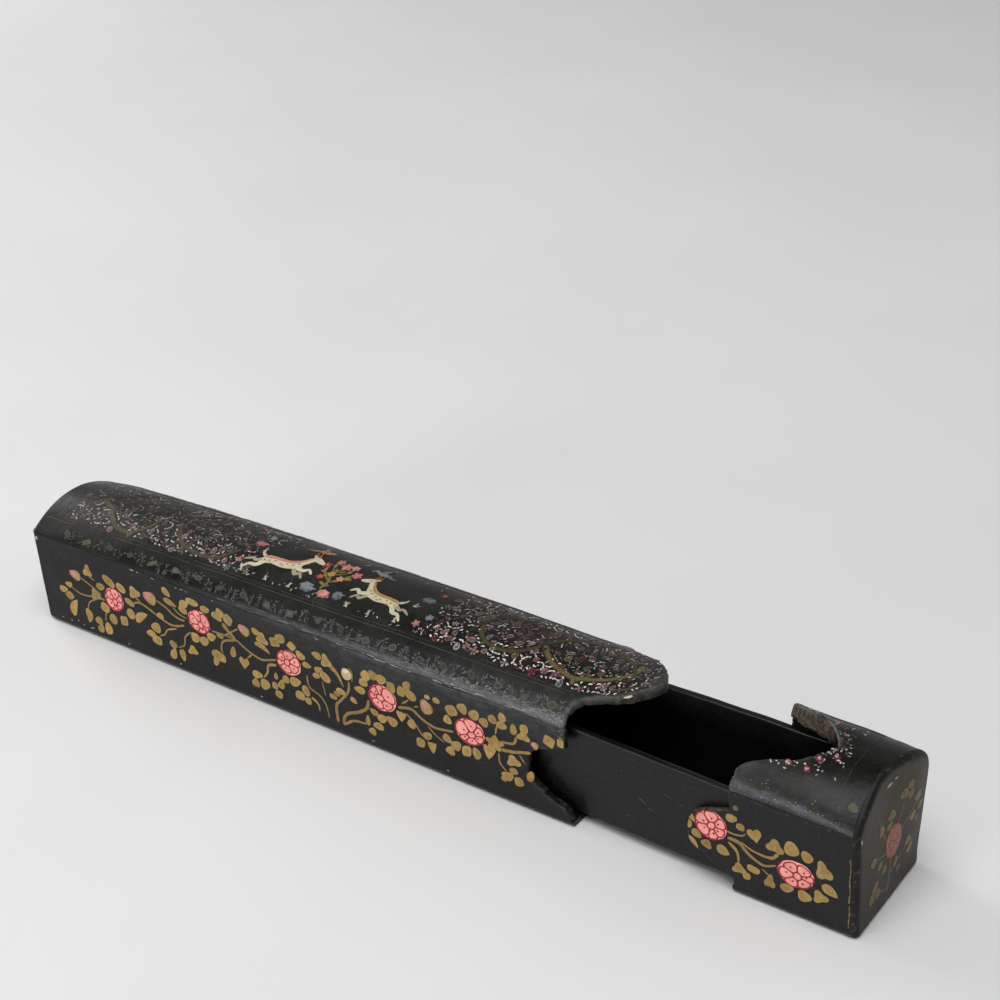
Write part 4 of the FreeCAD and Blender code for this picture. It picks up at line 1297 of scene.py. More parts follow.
def band(P, x0, x1, at, ok):
    """Running border: a small flower, a sprig, a small flower, hardly lighter than the ground."""
    x = x0
    while x < x1:
        t = min(1, max(0, (x + 80) / 80))
        for mirror in (False, True):
            S = (lambda v: ARC - v) if mirror else (lambda v: v)
            sg = -1 if mirror else 1
            fl, dab = mixc(lin(86, 86, 68), lin(84, 86, 77), t), mixc(lin(92, 93, 82), lin(106, 108, 107), t)
            u, v = x + rng.uniform(-0.5, 0.5), 5.4 + rng.uniform(-0.6, 0.6)
            if ok(u, S(v)):
                k = rng.uniform(0.5, 1.0)
                q = lobed(u, S(v), rng.uniform(3.0, 4.2), rng.uniform(2.1, 2.8), sg * rng.uniform(-35, 35), rng.choice((2, 3, 4)), 0.12, rng.uniform(0, 90))
                P.poly(q, at, shade(fl, k), 0.055, 0.8)
                P.poly(q.mean(0) + (q - q.mean(0)) * rng.uniform(0.28, 0.5), at, shade(fl, rng.choice((0.3, 0.55, 1.35)) * k), 0.10, 0.8)
                for i in range(rng.randint(4, 6)):
                    a = rng.uniform(0, 360)
                    e = (u + 2.3 * math.cos(math.radians(a)), v + 1.9 * math.sin(math.radians(a)))
                    if ok(e[0], S(e[1])):
                        comma(P, e[0], S(e[1]), rng.uniform(0.8, 1.4), rng.uniform(0.35, 0.6), sg * (a + rng.uniform(-30, 30)), shade(dab, rng.uniform(0.25, 0.85)), at)
            for b in (-1, 1):
                # two bent stems with paired dabs
                m, n0 = x + 4.9 + b * rng.uniform(0.6, 1.3), 5.0 + rng.uniform(-0.8, 0.4)
                a0 = 90 - b * rng.uniform(10, 55)
                for i in range(5):
                    a = math.radians(a0 + b * i * 9)
                    e = (m + i * 0.62 * math.cos(a), n0 - 1.6 + i * 0.85 * math.sin(a))
                    if not 1.9 < e[1] < 9.2 or not ok(e[0], S(e[1])):
                        continue
                    for h in (-1, 1):
                        d = math.degrees(a) + h * rng.uniform(35, 65)
                        o = (e[0] + 0.55 * math.cos(math.radians(d)), e[1] + 0.55 * math.sin(math.radians(d)))
                        if rng.random() < 0.75 and ok(o[0], S(o[1])):
                            comma(P, o[0], S(o[1]), rng.uniform(0.7, 1.4), rng.uniform(0.3, 0.5), sg * d, shade(dab, rng.uniform(0.25, 0.95)), at)
        x += 9.8 + rng.uniform(-0.7, 0.7)
    # a row of small pale curls low down towards the mouth
    x = 56.0
    while x < 90:
        for q in (3.4, ARC - 3.4):
            for i in range(2):
                comma(P, x + rng.uniform(-0.8, 0.8), q + rng.uniform(-0.8, 0.8), rng.uniform(1.0, 1.8), 0.45, rng.uniform(0, 180), shade(lin(128, 130, 128), rng.uniform(0.4, 1.0)), at)
        x += rng.uniform(1.6, 3.2)


band(P, -95.5, 103, dome_at, lambda x, s: in_top(x, s, 1.5))
P.done("top_border", "sleeve", "sleeve_lacquer", M_PAINT)

P = Paint()
OLIVE = lin(88, 80, 46)
LOBES = [
    ([(-94.8, 24), (-91.4, 22), (-88.1, 20.6), (-85.3, 17.3), (-80.9, 14.2), (-76.4, 13.1), (-72.6, 13.9), (-68.7, 17.3), (-67.6, 20.6), (-69.2, 24.5)], 0.62),
    ([(-72.3, 13.4), (-73.2, 12.2), (-73.0, 11.2)], 0.8),
    ([(-59.5, 24.5), (-56.4, 19.5), (-52, 15.6), (-46.4, 14), (-40.3, 13.7), (-35.3, 15.3), (-33, 18.4), (-31, 21.2)], 0.55),
    ([(60.3, 30.6), (62, 24.5), (64.4, 19.5), (67.8, 17.3), (73.3, 16.5), (78.9, 18.4), (82.8, 22.8), (83.3, 27.3)], 0.6),
    ([(83.9, 24.5), (86.7, 21.2), (90, 18.4), (94.4, 16.5), (98.9, 15.6), (104.4, 17.0), (109.4, 19.2), (112.9, 22.4), (114.8, 26.2), (114.6, 30.0)], 1.2),
    ([(99.2, 15.8), (99.7, 14.3), (100.2, 13.2)], 1.25),
]
for pts, k in LOBES:
    p = [(x + DX, s) for x, s in pts]
    fore_aft(P, p, 2.0, 1.7, dome_at, shade(OLIVE, 0.5 * k), 0.03, 0.35)
    fore_aft(P, p, 1.2, 1.0, dome_at, shade(OLIVE, k), 0.06, 0.35)
for g in (1, -1):
    S = (lambda v: v) if g > 0 else (lambda v: ARC - v)
    # the far copy is fainter to stand in for the sheen over the far side
    P.stroke([(112.5, S(15.0)), (117.5, S(17.4)), (121.3, S(20.4)), (123.6, S(24.0))], 0.9, 0.7, dome_at, shade(lin(74, 74, 60), 0.7 if g > 0 else 0.35), 0.05)
P.done("top_cartouches", "sleeve", "sleeve_lacquer", M_PAINT)

# scattered blossoms and white flecks
TINTS = [(lin(180, 116, 122), 0.22), (lin(162, 124, 126), 0.19), (lin(124, 38, 54), 0.12), (lin(150, 88, 56), 0.09), (lin(128, 118, 66), 0.09),
         (lin(124, 136, 152), 0.11), (lin(178, 172, 164), 0.18)]


def pick_tint():
    q = rng.random()
    for c, w in TINTS:
        q -= w
        if q <= 0:
            return c
    return TINTS[0][0]


def dulled(c, t=0.34):
    m = 0.3 * c[0] + 0.55 * c[1] + 0.15 * c[2]
    return mixc(c, (m * 1.1, m, m * 0.92, 1.0), t)


def lobe_clear(x, s, r=1.2):
    s = min(s, ARC - s)
    for pts, _ in LOBES:
        for a, b in pts:
            if (x - a - DX) ** 2 + (s - b) ** 2 < (r + 0.6) ** 2:
                return False
    return True


def crown_wear_and_sheen_fade(s):
    """The colours are dimmed along the crown: partly rubbed thin, partly painted down to stand for the sheen that
    washes the crown out.
    """
    return 1 - 0.60 * math.exp(-((s - 29.0) / 8.0) ** 2)


def bud_dot(P, at, x, s, l, w, a, c):
    P.poly(blob(x, s, l, w, a, 0.2, 11, 0.07), at, c, 0.03)
    P.poly(blob(x, s, l * 0.70, w * 0.60, a, 0.2, 10, 0.08), at, shade(c, rng.uniform(0.28, 0.5)), 0.07)
    d = turn([(0.12 * l, 0.12 * w)], a, (x, s))[0]
    P.poly(blob(d[0], d[1], l * 0.36, w * 0.26, a, 0.2, 7), at, shade(c, rng.choice((0.9, 1.5, 1.9))), 0.11)


def millefleur(P, x0, x1, s0, s1, at, ok, per=18.5, flecks=4.6, dim=lambda x, s: 1.0, gay=lambda x: 1.0, grey=0.34):
    flowers = []
    n = int((x1 - x0) * (s1 - s0) / per)
    for _ in range(n * 6):
        if len(flowers) >= n:
            break
        x, s = rng.uniform(x0, x1), rng.uniform(s0, s1)
        if ok(x, s, 1.6) and lobe_clear(x, s) and all((x - a) ** 2 + (s - b) ** 2 > 6.5 for a, b in flowers):
            flowers.append((x, s))
    pts = []
    for x, s in flowers:
        if rng.random() > gay(x):
            continue
        k = crown_wear_and_sheen_fade(s) * dim(x, s)
        c = shade(dulled(pick_tint(), grey), rng.uniform(0.45, 0.9) * k)
        a0 = rng.uniform(20, 110)
        q = rng.random()
        if q < 0.66:
            bud_dot(P, at, x, s, rng.uniform(2.1, 3.4), rng.uniform(1.5, 2.2), a0, c)
        else:
            r, m = rng.uniform(0.75, 1.2), rng.choice((4, 5, 5, 6))
            for i in range(m):
                a = a0 + 360 * i / m + rng.uniform(-9, 9)
                P.poly(blob(x + r * math.cos(math.radians(a)), s + r * math.sin(math.radians(a)), 1.1 * r, 0.8 * r, a, 0.1, 8), at,
                       shade(c, rng.uniform(0.5, 1.15)), 0.035)
            P.poly(blob(x, s, 0.7 * r, 0.7 * r, 0, 0, 7), at, shade(pick_tint(), 0.8 * k), 0.075)
        pts.append((x, s))
    cell = {}
    for u, v in pts:
        for o in (0.0, 0.6, -0.6):
            cell.setdefault((int(u + o), int(v + o)), []).append((u + o, v + o))

    def fleck(x, s, a, big):
        near = [q for i in (-1, 0, 1) for j in (-1, 0, 1) for q in cell.get((int(x) + i, int(s) + j), ())]
        if not (x0 < x < x1 and s0 < s < s1) or not ok(x, s, 0.7) or not lobe_clear(x, s, 0.6) or any((x - p) ** 2 + (s - q) ** 2 < 0.95 for p, q in near):
            return 0
        cell.setdefault((int(x), int(s)), []).append((x, s))
        k = crown_wear_and_sheen_fade(s) * dim(x, s)
        c = lin(232, 229, 220) if rng.random() < 0.82 else pick_tint()
        comma(P, x, s, rng.uniform(0.75, 1.4), rng.uniform(0.36, 0.58), a, shade(c, (rng.uniform(0.6, 1.1) if big else rng.uniform(0.08, 0.5)) * k), at, 0.035)
        return 1
    # rows of dashes inside the lobes and along the border
    for pts, _ in LOBES:
        if len(pts) < 5:
            continue
        c = through([(u + DX, v) for u, v in pts], 0.5)
        mid = c.mean(0) + (0, 4)
        for off in (1.9, 3.6, -1.9):
            i = rng.randint(0, 3)
            while i < len(c) - 1:
                d = mid - c[i]
                q = c[i] + d / np.linalg.norm(d) * off
                tg = c[min(i + 1, len(c) - 1)] - c[max(i - 1, 0)]
                if rng.random() < (0.85 if off == 1.9 else 0.5):
                    fleck(q[0], q[1], math.degrees(math.atan2(tg[1], tg[0])) + rng.uniform(-40, 40), q[1] < 19)
                i += rng.randint(2, 4)
    u = x0
    while u < x1:
        fleck(u, s0 + rng.uniform(0.1, 1.6), rng.uniform(-50, 50), True)
        if rng.random() < 0.7:
            fleck(u, s0 + rng.uniform(1.6, 3.6), rng.uniform(0, 180), True)
        u += rng.uniform(0.9, 2.2)
    n = int((x1 - x0) * (s1 - s0) / flecks)
    done = 0
    for _ in range(n):
        # short runs of flecks on a curve, then single ones
        if done > n * 0.5:
            break
        x, s, r, a = rng.uniform(x0, x1), rng.uniform(s0, s1), rng.uniform(1.6, 4.0), rng.uniform(0, 360)
        big = rng.random() < 0.7
        for i in range(rng.randint(2, 6)):
            th = math.radians(a + i * 62 / r)
            done += fleck(x + r * math.cos(th), s + r * math.sin(th), math.degrees(th) + 90 + rng.uniform(-25, 25), big)
    for _ in range(n * 3):
        if done >= n:
            break
        done += fleck(rng.uniform(x0, x1), rng.uniform(s0, s1), rng.uniform(0, 360), rng.random() < 0.48)


P = Paint()
millefleur(P, -101, -20, 12.0, ARC - 12.0, dome_at, lambda x, s, r: (x - r > -102.5) and (x < -26 or rng.random() < (-19 - x) / 8),
           dim=lambda x, s: 0.56 + 0.32 * min(1, max(0, (x + 95) / 60)), gay=lambda x: 0.35 + 0.65 * min(1, max(0, (x + 95) / 55)), grey=0.58)
P.done("top_blossoms_blind_end", "sleeve", "sleeve_lacquer", M_PAINT)
P = Paint()
millefleur(P, 46, 124, 12.0, ARC - 12.0, dome_at, lambda x, s, r: in_top(x, s, r + 0.8) and (x > 54 or rng.random() < (x - 45) / 9))
P.done("top_blossoms_mouth", "sleeve", "sleeve_lacquer", M_PAINT)

# the middle of the top: two gazelles leaping past a flowering bush, among rocks
CREAM, GREYB, BROWN = lin(206, 200, 172), lin(118, 126, 134), lin(140, 92, 48)
ROSY, OCHR, OLV = lin(196, 134, 122), lin(166, 128, 70), lin(112, 108, 62)


def gazelle(P, x, s, k, g, col, back, at=dome_at):
    T = lambda pts: [(x + g * a * k, s + b * k) for a, b in pts]
    R = lambda pts, ds=0.6: through(T(pts + pts[:1]), ds)[:-1]
    d = shade(col, 0.55)
    for pts in ([(-4.6, 5.8), (-6.4, 4.6), (-7.6, 5.0), (-9.6, 3.8)], [(3.9, 6.2), (5.6, 4.2), (6.6, 4.9), (8.0, 3.4)]):
        P.stroke(T(pts), 1.3 * k, 0.5 * k, at, d, 0.05, 0.6)
    for pts in ([(-4.0, 5.2), (-5.4, 3.2), (-7.0, 3.0), (-8.6, 1.2)], [(4.4, 6.6), (6.6, 5.9), (7.9, 6.8), (9.4, 5.6)]):
        P.stroke(T(pts), 1.5 * k, 0.55 * k, at, col, 0.09, 0.6)
    P.poly(R([(-5.4, 5.6), (-4.4, 7.2), (-1.6, 7.6), (1.6, 7.8), (4.0, 9.0), (5.3, 8.7), (5.4, 7.0), (3.9, 5.5), (1.0, 4.8), (-2.0, 5.0), (-4.2, 4.5)]), at, col, 0.13, 0.9)
    P.poly(R([(-5.0, 6.2), (-4.2, 7.1), (-1.6, 7.5), (1.6, 7.7), (3.9, 8.8), (4.2, 8.0), (1.8, 6.9), (-1.6, 6.7), (-4.0, 6.3)]), at, back, 0.19, 0.9)
    P.stroke(T([(4.2, 7.6), (5.5, 9.8), (6.5, 11.5)]), 2.3 * k, 1.4 * k, at, col, 0.16, 0.6)
    P.stroke(T([(3.9, 8.2), (5.0, 10.2), (5.9, 11.8)]), 0.7 * k, 0.5 * k, at, back, 0.22, 0.6)
    P.poly(R([(5.7, 11.3), (6.4, 12.5), (7.8, 12.1), (9.5, 10.9), (9.2, 10.2), (7.2, 10.5)], 0.5), at, col, 0.2)
    for h in ([(6.5, 12.3), (5.4, 13.4), (5.0, 15.2)], [(7.0, 12.3), (6.3, 13.6), (6.2, 15.4)]):
        P.stroke(T(h), 0.5 * k, 0.25 * k, at, BROWN, 0.2, 0.5)
    P.poly(leaf_shape(x + g * 5.6 * k, s + 12.4 * k, 1.7 * k, 0.7 * k, 90 + g * 50), at, shade(col, 0.8), 0.22)
    P.stroke(T([(-5.0, 6.6), (-6.3, 7.6), (-6.6, 8.8)]), 0.9 * k, 0.35 * k, at, shade(col, 0.85), 0.16, 0.5)
    for a, b in ((-3.2, 5.6), (-1.6, 6.1), (0.2, 5.7), (1.8, 6.3), (3.4, 6.6), (-2.4, 4.9), (1.0, 5.3), (4.4, 7.6), (-4.4, 5.4)):
        P.poly(blob(x + g * a * k, s + b * k, 0.55 * k, 0.42 * k, rng.uniform(0, 90), 0, 8), at, shade(back, 0.8), 0.24)
    P.poly(blob(x + g * 7.1 * k, s + 11.5 * k, 0.4, 0.36, 0, 0, 7), at, lin(26, 22, 20), 0.26)


def tuft(P, x, s, k=1.0):
    for i in range(6):
        a = 90 + (i - 2.5) * 24 + rng.uniform(-8, 8)
        l = rng.uniform(1.6, 3.0) * k
        e = (x + (i - 2.5) * 0.45 + l * math.cos(math.radians(a)), s + l * math.sin(math.radians(a)))
        P.stroke([(x + (i - 2.5) * 0.3, s), ((x + (i - 2.5) * 0.35 + e[0]) / 2, (s + e[1]) / 2 + 0.2), e], 0.34, 0.16, dome_at, shade(lin(206, 204, 190), rng.uniform(0.3, 1)), 0.06, 0.6)


def blossom(P, x, s, r, c, at=dome_at, n=5):
    a0 = rng.uniform(0, 72)
    for i in range(n):
        a = math.radians(a0 + 360 * i / n)
        P.poly(blob(x + r * 0.62 * math.cos(a), s + r * 0.62 * math.sin(a), r * 0.98, r * 0.74, math.degrees(a), 0.1, 10), at, shade(c, rng.uniform(0.75, 1.1)), 0.10)
    P.poly(blob(x, s, r * 0.55, r * 0.55, 0, 0, 9), at, lin(176, 140, 70), 0.16)


def rock(P, x, s, w, h, c):
    q = lobed(x, s, w, h, 0, rng.choice((5, 6, 7)), 0.10, rng.uniform(0, 60), 30)
    P.poly(q, dome_at, shade(c, 0.5), 0.05, 1.0)
    m = q.mean(0)
    P.poly(m + (q - m) * 0.76 + (-0.15, 0.25), dome_at, c, 0.10, 1.0)
    for k in range(3):
        a = (m[0] + rng.uniform(-0.3, 0.3) * w, m[1] + rng.uniform(-0.25, 0.1) * h)
        P.stroke([a, (a[0] + 0.12 * w, a[1] + 0.22 * h), (a[0] + 0.3 * w, a[1] + 0.2 * h)], 0.4, 0.2, dome_at, shade(c, rng.choice((0.45, 1.5))), 0.16, 0.6)


P = Paint()
for x, s, w, h, c in ((1.5, 15.2, 6.2, 4.2, GREYB), (8.4, 14.6, 5.4, 3.6, ROSY), (13.4, 15.6, 4.4, 3.8, shade(GREYB, 0.8)), (-26.5, 27.0, 5.0, 3.4, shade(ROSY, 0.6)), (41.0, 26.5, 5.2, 3.6, shade(GREYB, 0.6))):
    rock(P, x, s, w, h, c)
gazelle(P, -13.5, 12.6, 1.36, 1, CREAM, ROSY)
gazelle(P, 27.5, 12.2, 1.26, -1, shade(CREAM, 0.92), OCHR)
for pts, w in (([(6, 16.0), (6.6, 19.5), (5.4, 23.5), (6.6, 28.5)], 1.0), ([(6.4, 19.5), (10.4, 22.4), (12.4, 26)], 0.7), ([(6.0, 20.2), (2.4, 23.4), (0.8, 26.6)], 0.7),
               ([(6.0, 23.5), (9.0, 26.0), (9.6, 29.6)], 0.55), ([(5.6, 24.0), (3.4, 27.0), (3.4, 30.2)], 0.55)):
    P.stroke(pts, w, w * 0.5, dome_at, OLV, 0.05, 0.8)
for x, s, a in ((8.6, 21.0, 30), (10.9, 24.6, 70), (3.6, 22.2, 140), (1.6, 25.2, 100), (7.0, 18.0, 20), (5.0, 18.4, 160), (5.2, 26.0, 120), (7.4, 26.2, 40), (9.6, 27.6, 80), (3.0, 28.4, 110), (11.6, 23.6, 10), (1.8, 23.6, 170)):
    P.poly(leaf_shape(x, s, 2.6, 1.2, a), dome_at, shade(lin(136, 122, 66), rng.uniform(0.6, 1.05)), 0.08)
for x, s, r, c in ((6.8, 29.4, 1.9, lin(200, 124, 122)), (12.8, 26.8, 1.7, lin(190, 108, 110)), (0.4, 27.4, 1.7, lin(150, 48, 60)), (9.8, 30.2, 1.4, lin(206, 150, 142)), (3.4, 31.0, 1.5, lin(190, 116, 110)),
                   (5.0, 23.6, 1.4, lin(176, 138, 74)), (9.2, 22.6, 1.3, lin(204, 140, 134)), (2.6, 20.8, 1.3, lin(168, 70, 72))):
    blossom(P, x, s, r, c)
# two small birds in the air
for bx, bs, g, c in ((19.0, 32.0, -1, GREYB), (-5.0, 33.5, 1, lin(150, 120, 84))):
    T = lambda pts: [(bx + g * a, bs + b) for a, b in pts]
    P.poly(through(T([(-2.6, 0.0), (-1.2, 1.1), (1.0, 1.2), (2.4, 0.6), (1.4, -0.5), (-0.8, -0.9), (-2.6, 0.0)]), 0.6)[:-1], dome_at, c, 0.1, 0.9)
    P.poly(leaf_shape(bx - g * 0.4, bs + 1.9, 4.0, 1.5, 90 + g * 35, 0.1), dome_at, shade(c, 0.7), 0.14)
    P.stroke(T([(-2.2, 0.0), (-4.4, -0.8), (-5.8, -0.6)]), 1.1, 0.4, dome_at, shade(c, 0.75), 0.1, 0.7)
    P.poly(blob(bx + g * 2.6, bs + 0.9, 1.4, 1.2, 0), dome_at, shade(c, 1.15), 0.14)
    P.stroke(T([(3.2, 0.9), (4.1, 0.7)]), 0.4, 0.15, dome_at, lin(176, 110, 52), 0.14, 0.5)
for x, s in ((-24.5, 13.0), (-14.0, 12.6), (-4.6, 12.8), (18.4, 12.8), (27.0, 12.6), (36.8, 13.0), (-22.6, 23.6), (39.2, 21.2), (18.0, 25.6)):
    tuft(P, x, s, rng.uniform(0.8, 1.15))
for _ in range(60):
    x, s = rng.uniform(-28, 47), rng.choice((rng.uniform(12, 14), rng.uniform(31, 38)))
    comma(P, x, s, rng.uniform(0.7, 1.2), 0.4, rng.uniform(0, 360), shade(lin(214, 210, 196), rng.uniform(0.15, 0.8) * crown_wear_and_sheen_fade(s)), dome_at)
for x, s in ((44, 15.2), (46.5, 19.0), (-27.5, 17), (43.5, 31.5), (-25.5, 32)):
    blossom(P, x, s, 1.3, shade(pick_tint(), 0.8))
P.done("top_middle_scene", "sleeve", "sleeve_lacquer", M_PAINT)

# --- cap top
P = Paint()
for s, w, c in ((9.5, 0.30, lin(46, 44, 36)), (10.5, 0.26, lin(38, 36, 30))):
    for q in (s, ARC - s):
        for a, b in ((158.5, 166.4), (166.2, 175.0), (175.2, 181.4), (181.6, 186.5)):
            if a + DX > XC + SEAM + float(ogee(dome_frame(q)[0])) + 0.8:
                P.stroke([(a + DX, q), ((a + b) / 2 + DX, q + rng.uniform(-0.1, 0.1)), (b + DX, q)], w, w, dome_at, shade(c, rng.uniform(0.7, 1.1)), 0.05, 1.5)
for x, s in ((165, 4.6), (173.4, 5.2), (181.2, 4.6), (191.2, 8.6)):
    for q in (s, ARC - s):
        P.poly(blob(x + DX, q, 3.2, 2.1, rng.uniform(-20, 20), 0.2, 14, 0.08), dome_at, shade(lin(72, 70, 46), rng.uniform(0.8, 1.05) if x > 185 else rng.uniform(0.18, 0.4)), 0.06, 0.8)
for q0, q1 in ((11.5, 19), (19.5, 30), (30.4, 38)):
    P.stroke([(186.0 + DX, q0), (186.3 + DX, (q0 + q1) / 2), (186.0 + DX, q1)], 0.5, 0.45, dome_at, lin(30, 28, 21), 0.04, 1.2)


def on_cap(x, s, r):
    return XC + SEAM + float(ogee(dome_frame(s)[0])) + r < x


for x, s, r, c in ((176.8, 17.8, 1.0, lin(206, 120, 126)), (175.2, 13.3, 0.95, lin(200, 110, 118)), (169.7, 13.3, 0.9, lin(210, 134, 136)), (180.6, 20.5, 0.8, lin(190, 120, 118)),
                   (178.6, 30.5, 0.8, lin(186, 112, 112)), (173.5, 35.5, 0.8, lin(190, 124, 118))):
    P.poly(blob(x + DX, s, 2.5 * r, 1.9 * r, rng.uniform(-30, 30), 0.2, 12, 0.14), dome_at, shade(mixc(c, CRIMSON, 0.6), 0.28), 0.06)
    P.poly(blob(x + DX - 0.2, s + 0.2, 1.5 * r, 1.0 * r, rng.uniform(0, 60), 0.2, 9, 0.14), dome_at, shade(c, 0.55), 0.10)
    for _ in range(3):
        P.poly(blob(x + DX + rng.uniform(-0.6, 0.5), s + rng.uniform(-0.4, 0.5), 0.7 * r, 0.45 * r, rng.uniform(0, 180), 0.2, 8), dome_at, shade(mixc(c, lin(236, 226, 216), 0.6), rng.uniform(0.5, 0.95)), 0.13)
n = 0
while n < 92:
    x, s = rng.uniform(160, 184.5), rng.uniform(11.4, ARC - 11.4)
    edge = XC + SEAM + float(ogee(dome_frame(s)[0]))
    if not on_cap(x, s, 0.9) or rng.random() > math.exp(-(x - edge) / 7.0):
        continue
    comma(P, x, s, rng.uniform(0.5, 1.15), rng.uniform(0.34, 0.58), rng.uniform(0, 360), shade(lin(214, 212, 204), rng.choice((0.15, 0.3, 0.5, 0.8, 1.0)) * crown_wear_and_sheen_fade(s)), dome_at)
    n += 1
# the horn's scuffed back
for _ in range(46):
    s, x = rng.uniform(26.5, 37.0), rng.uniform(157.0, 184.0)
    if on_cap(x, s, 1.4) and rng.random() < math.exp(-(x - 160.0) / 14.0):
        l, a = rng.uniform(0.8, 3.4), math.radians(rng.uniform(-38, -8))
        P.stroke([(x - l / 2 * math.cos(a), s - l / 2 * math.sin(a)), (x, s + rng.uniform(-0.1, 0.1)), (x + l / 2 * math.cos(a), s + l / 2 * math.sin(a))], rng.uniform(0.14, 0.4), 0.12, dome_at,
                 shade(rng.choice((lin(150, 140, 122), lin(120, 84, 66), lin(104, 92, 74))), rng.uniform(0.2, 0.8)), 0.03, 0.8)
# the same rubbing on the horn's inner face, with a chip at its tip
HORN_IN = inner_dome(CAP_WALL, lambda s: 1.7 + 2.2 * horn(s))


def horn_in(x, s, off=0.0):
    _, _, ny, nz = dome_frame(s)
    p = HORN_IN(x, s)
    return p - np.stack([np.zeros(p.shape[:-1]), ny * off, nz * off], -1)


for _ in range(40):
    s, a = rng.uniform(35.5, 44.5), math.radians(rng.uniform(-26, 14))
    x = XC + SEAM + float(ogee(dome_frame(s)[0])) + rng.uniform(2.6, 13.0)
    l = rng.uniform(0.8, 3.2)
    P.stroke([(x - l / 2 * math.cos(a), s - l / 2 * math.sin(a)), (x, s + rng.uniform(-0.1, 0.1)), (x + l / 2 * math.cos(a), s + l / 2 * math.sin(a))], rng.uniform(0.16, 0.45), 0.12, horn_in,
             shade(rng.choice((lin(150, 140, 122), lin(124, 92, 74), lin(104, 96, 80))), rng.uniform(0.25, 0.85)), 0.03, 0.8)
P.poly(blob(160.6, 43.2, 1.5, 0.9, 35, 0.2, 9, 0.14), horn_in, lin(190, 186, 172), 0.06)
P.done("cap_top_blossoms", "drawer", "cap_lacquer", M_PAINT)

# --- the two ends
END_LEAVES = [(-6.5, 28, 4, 3.2, "l", 120), (-1, 30, 3.4, 4.2, "l", 80), (-2, 26.8, 3, 2.6), (5.6, 33.6, 3.4, 4.4, "l", 80), (8.4, 35.2, 3.2, 3.8, "l", 50), (8.8, 31.8, 3, 3),
              (13.5, 28.5, 4, 4.6, "l", 60), (15.6, 24, 3.6, 3), (11, 23, 3.4, 3.2), (10, 15, 4.4, 3.2, "l", -20), (11.2, 11.5, 3.2, 4, "l", -70), (2.4, 12.5, 2.4, 3),
              (-10, 11.4, 3.6, 3.2), (-12, 8.6, 3.2, 3.6), (-8.4, 8.4, 3, 3), (-11.5, 20.5, 4, 3, "l", 170), (-7.5, 17, 3.4, 2.6, "l", 200), (-4.6, 14, 3, 2.4)]
END_STEMS = [([(-1.8, 4.6), (-1.2, 9.5), (-0.4, 15.4)], 0.9, 0.7), ([(-7.6, 9), (-5, 6.8), (-1.8, 6.2)], 0.6, 0.5), ([(3.0, 25.0), (5.0, 29.5), (6.6, 32.2)], 0.7, 0.5),
             ([(4.8, 22), (9.2, 24.6), (13, 27)], 0.7, 0.5), ([(-3.8, 22.6), (-5.4, 26.6)], 0.6, 0.5), ([(-0.8, 10.5), (4.6, 12.6), (9, 14.2)], 0.6, 0.45), ([(-3.6, 18.6), (-9.4, 20.2)], 0.6, 0.5)]


def end_spray(P, at, flip, tone):
    g = -1 if flip else 1
    for pts, a, b in END_STEMS:
        P.stroke([(g * y, z) for y, z in pts], a, b, at, shade(STEM, 0.8 * tone), 0.03)
    for it in END_LEAVES:
        q = (g * it[0] - DX,) + tuple(it[1:4]) + ((it[4], it[5] if g > 0 else 180 - it[5]) if len(it) > 4 else ())
        vine_leaf(P, at, *q, **{"tone": tone})
    rose(P, at, g * 0.5 - DX, 20.5, 9.8, 11.4, 0, tone * 0.72, line=0.34, warm=(1.10, 0.95, 0.72), ink=0.35)
    for y, z in ((14, 20.6), (4.6, 9)):
        P.poly(blob(g * y, z, 2.8, 2.2, 20, 0.2), at, shade(PINK, 0.3 * tone), 0.08)


P = Paint()
end_spray(P, cap_end_at, False, 0.49)
P.done("cap_end_spray", "drawer", "cap_lacquer", M_PAINT)
P = Paint()
end_spray(P, blind_end_at, True, 0.5)
P.done("blind_end_spray", "sleeve", "sleeve_lacquer", M_PAINT)

# --- chips and rubbed spots
CHIP = lin(206, 198, 182)


def chip(P, at, x, z, w, h, col=CHIP, ang=0.0):
    n = 11
    th = np.linspace(0, 2 * math.pi, n, endpoint=False)
    r = np.array([rng.uniform(0.6, 1.1) for _ in range(n)])
    P.poly(turn(np.stack([w / 2 * r * np.cos(th), h / 2 * r * np.sin(th)], 1), ang, (x, z)), at, shade(col, rng.uniform(0.8, 1.05)), 0.05)


P = Paint()
for x, z, w, h in ((-65.3, 32.8, 2.6, 0.8), (-62.9, 32.7, 1.0, 0.5), (-56.2, 32.6, 2.0, 0.6), (-46, 32.7, 1.4, 0.5), (-43.6, 32.8, 2.2, 0.6), (-41.5, 32.6, 1.2, 0.4), (-30.4, 33.0, 1.0, 0.4), (12.4, 33.0, 1.6, 0.4)):
    chip(P, near_at, x + DX, z, w * 0.8, h * 0.7, shade(CHIP, rng.uniform(0.35, 0.9)))
for x, z in ((-97, 3), (-93.7, 3.9), (-91.2, 3), (-87.6, 3), (-86.7, 3.3), (-47, 2.8), (-101.2, 2.9), (-70.3, 2.6), (-12.2, 2.7), (33, 2.7), (61.5, 2.8)):
    chip(P, near_at, x + DX, z, rng.uniform(0.6, 1.3), rng.uniform(0.3, 0.6), shade(CHIP, 0.75))
chip(P, near_at, -108.3, 31.8, 1.3, 1.6, lin(196, 168, 150))
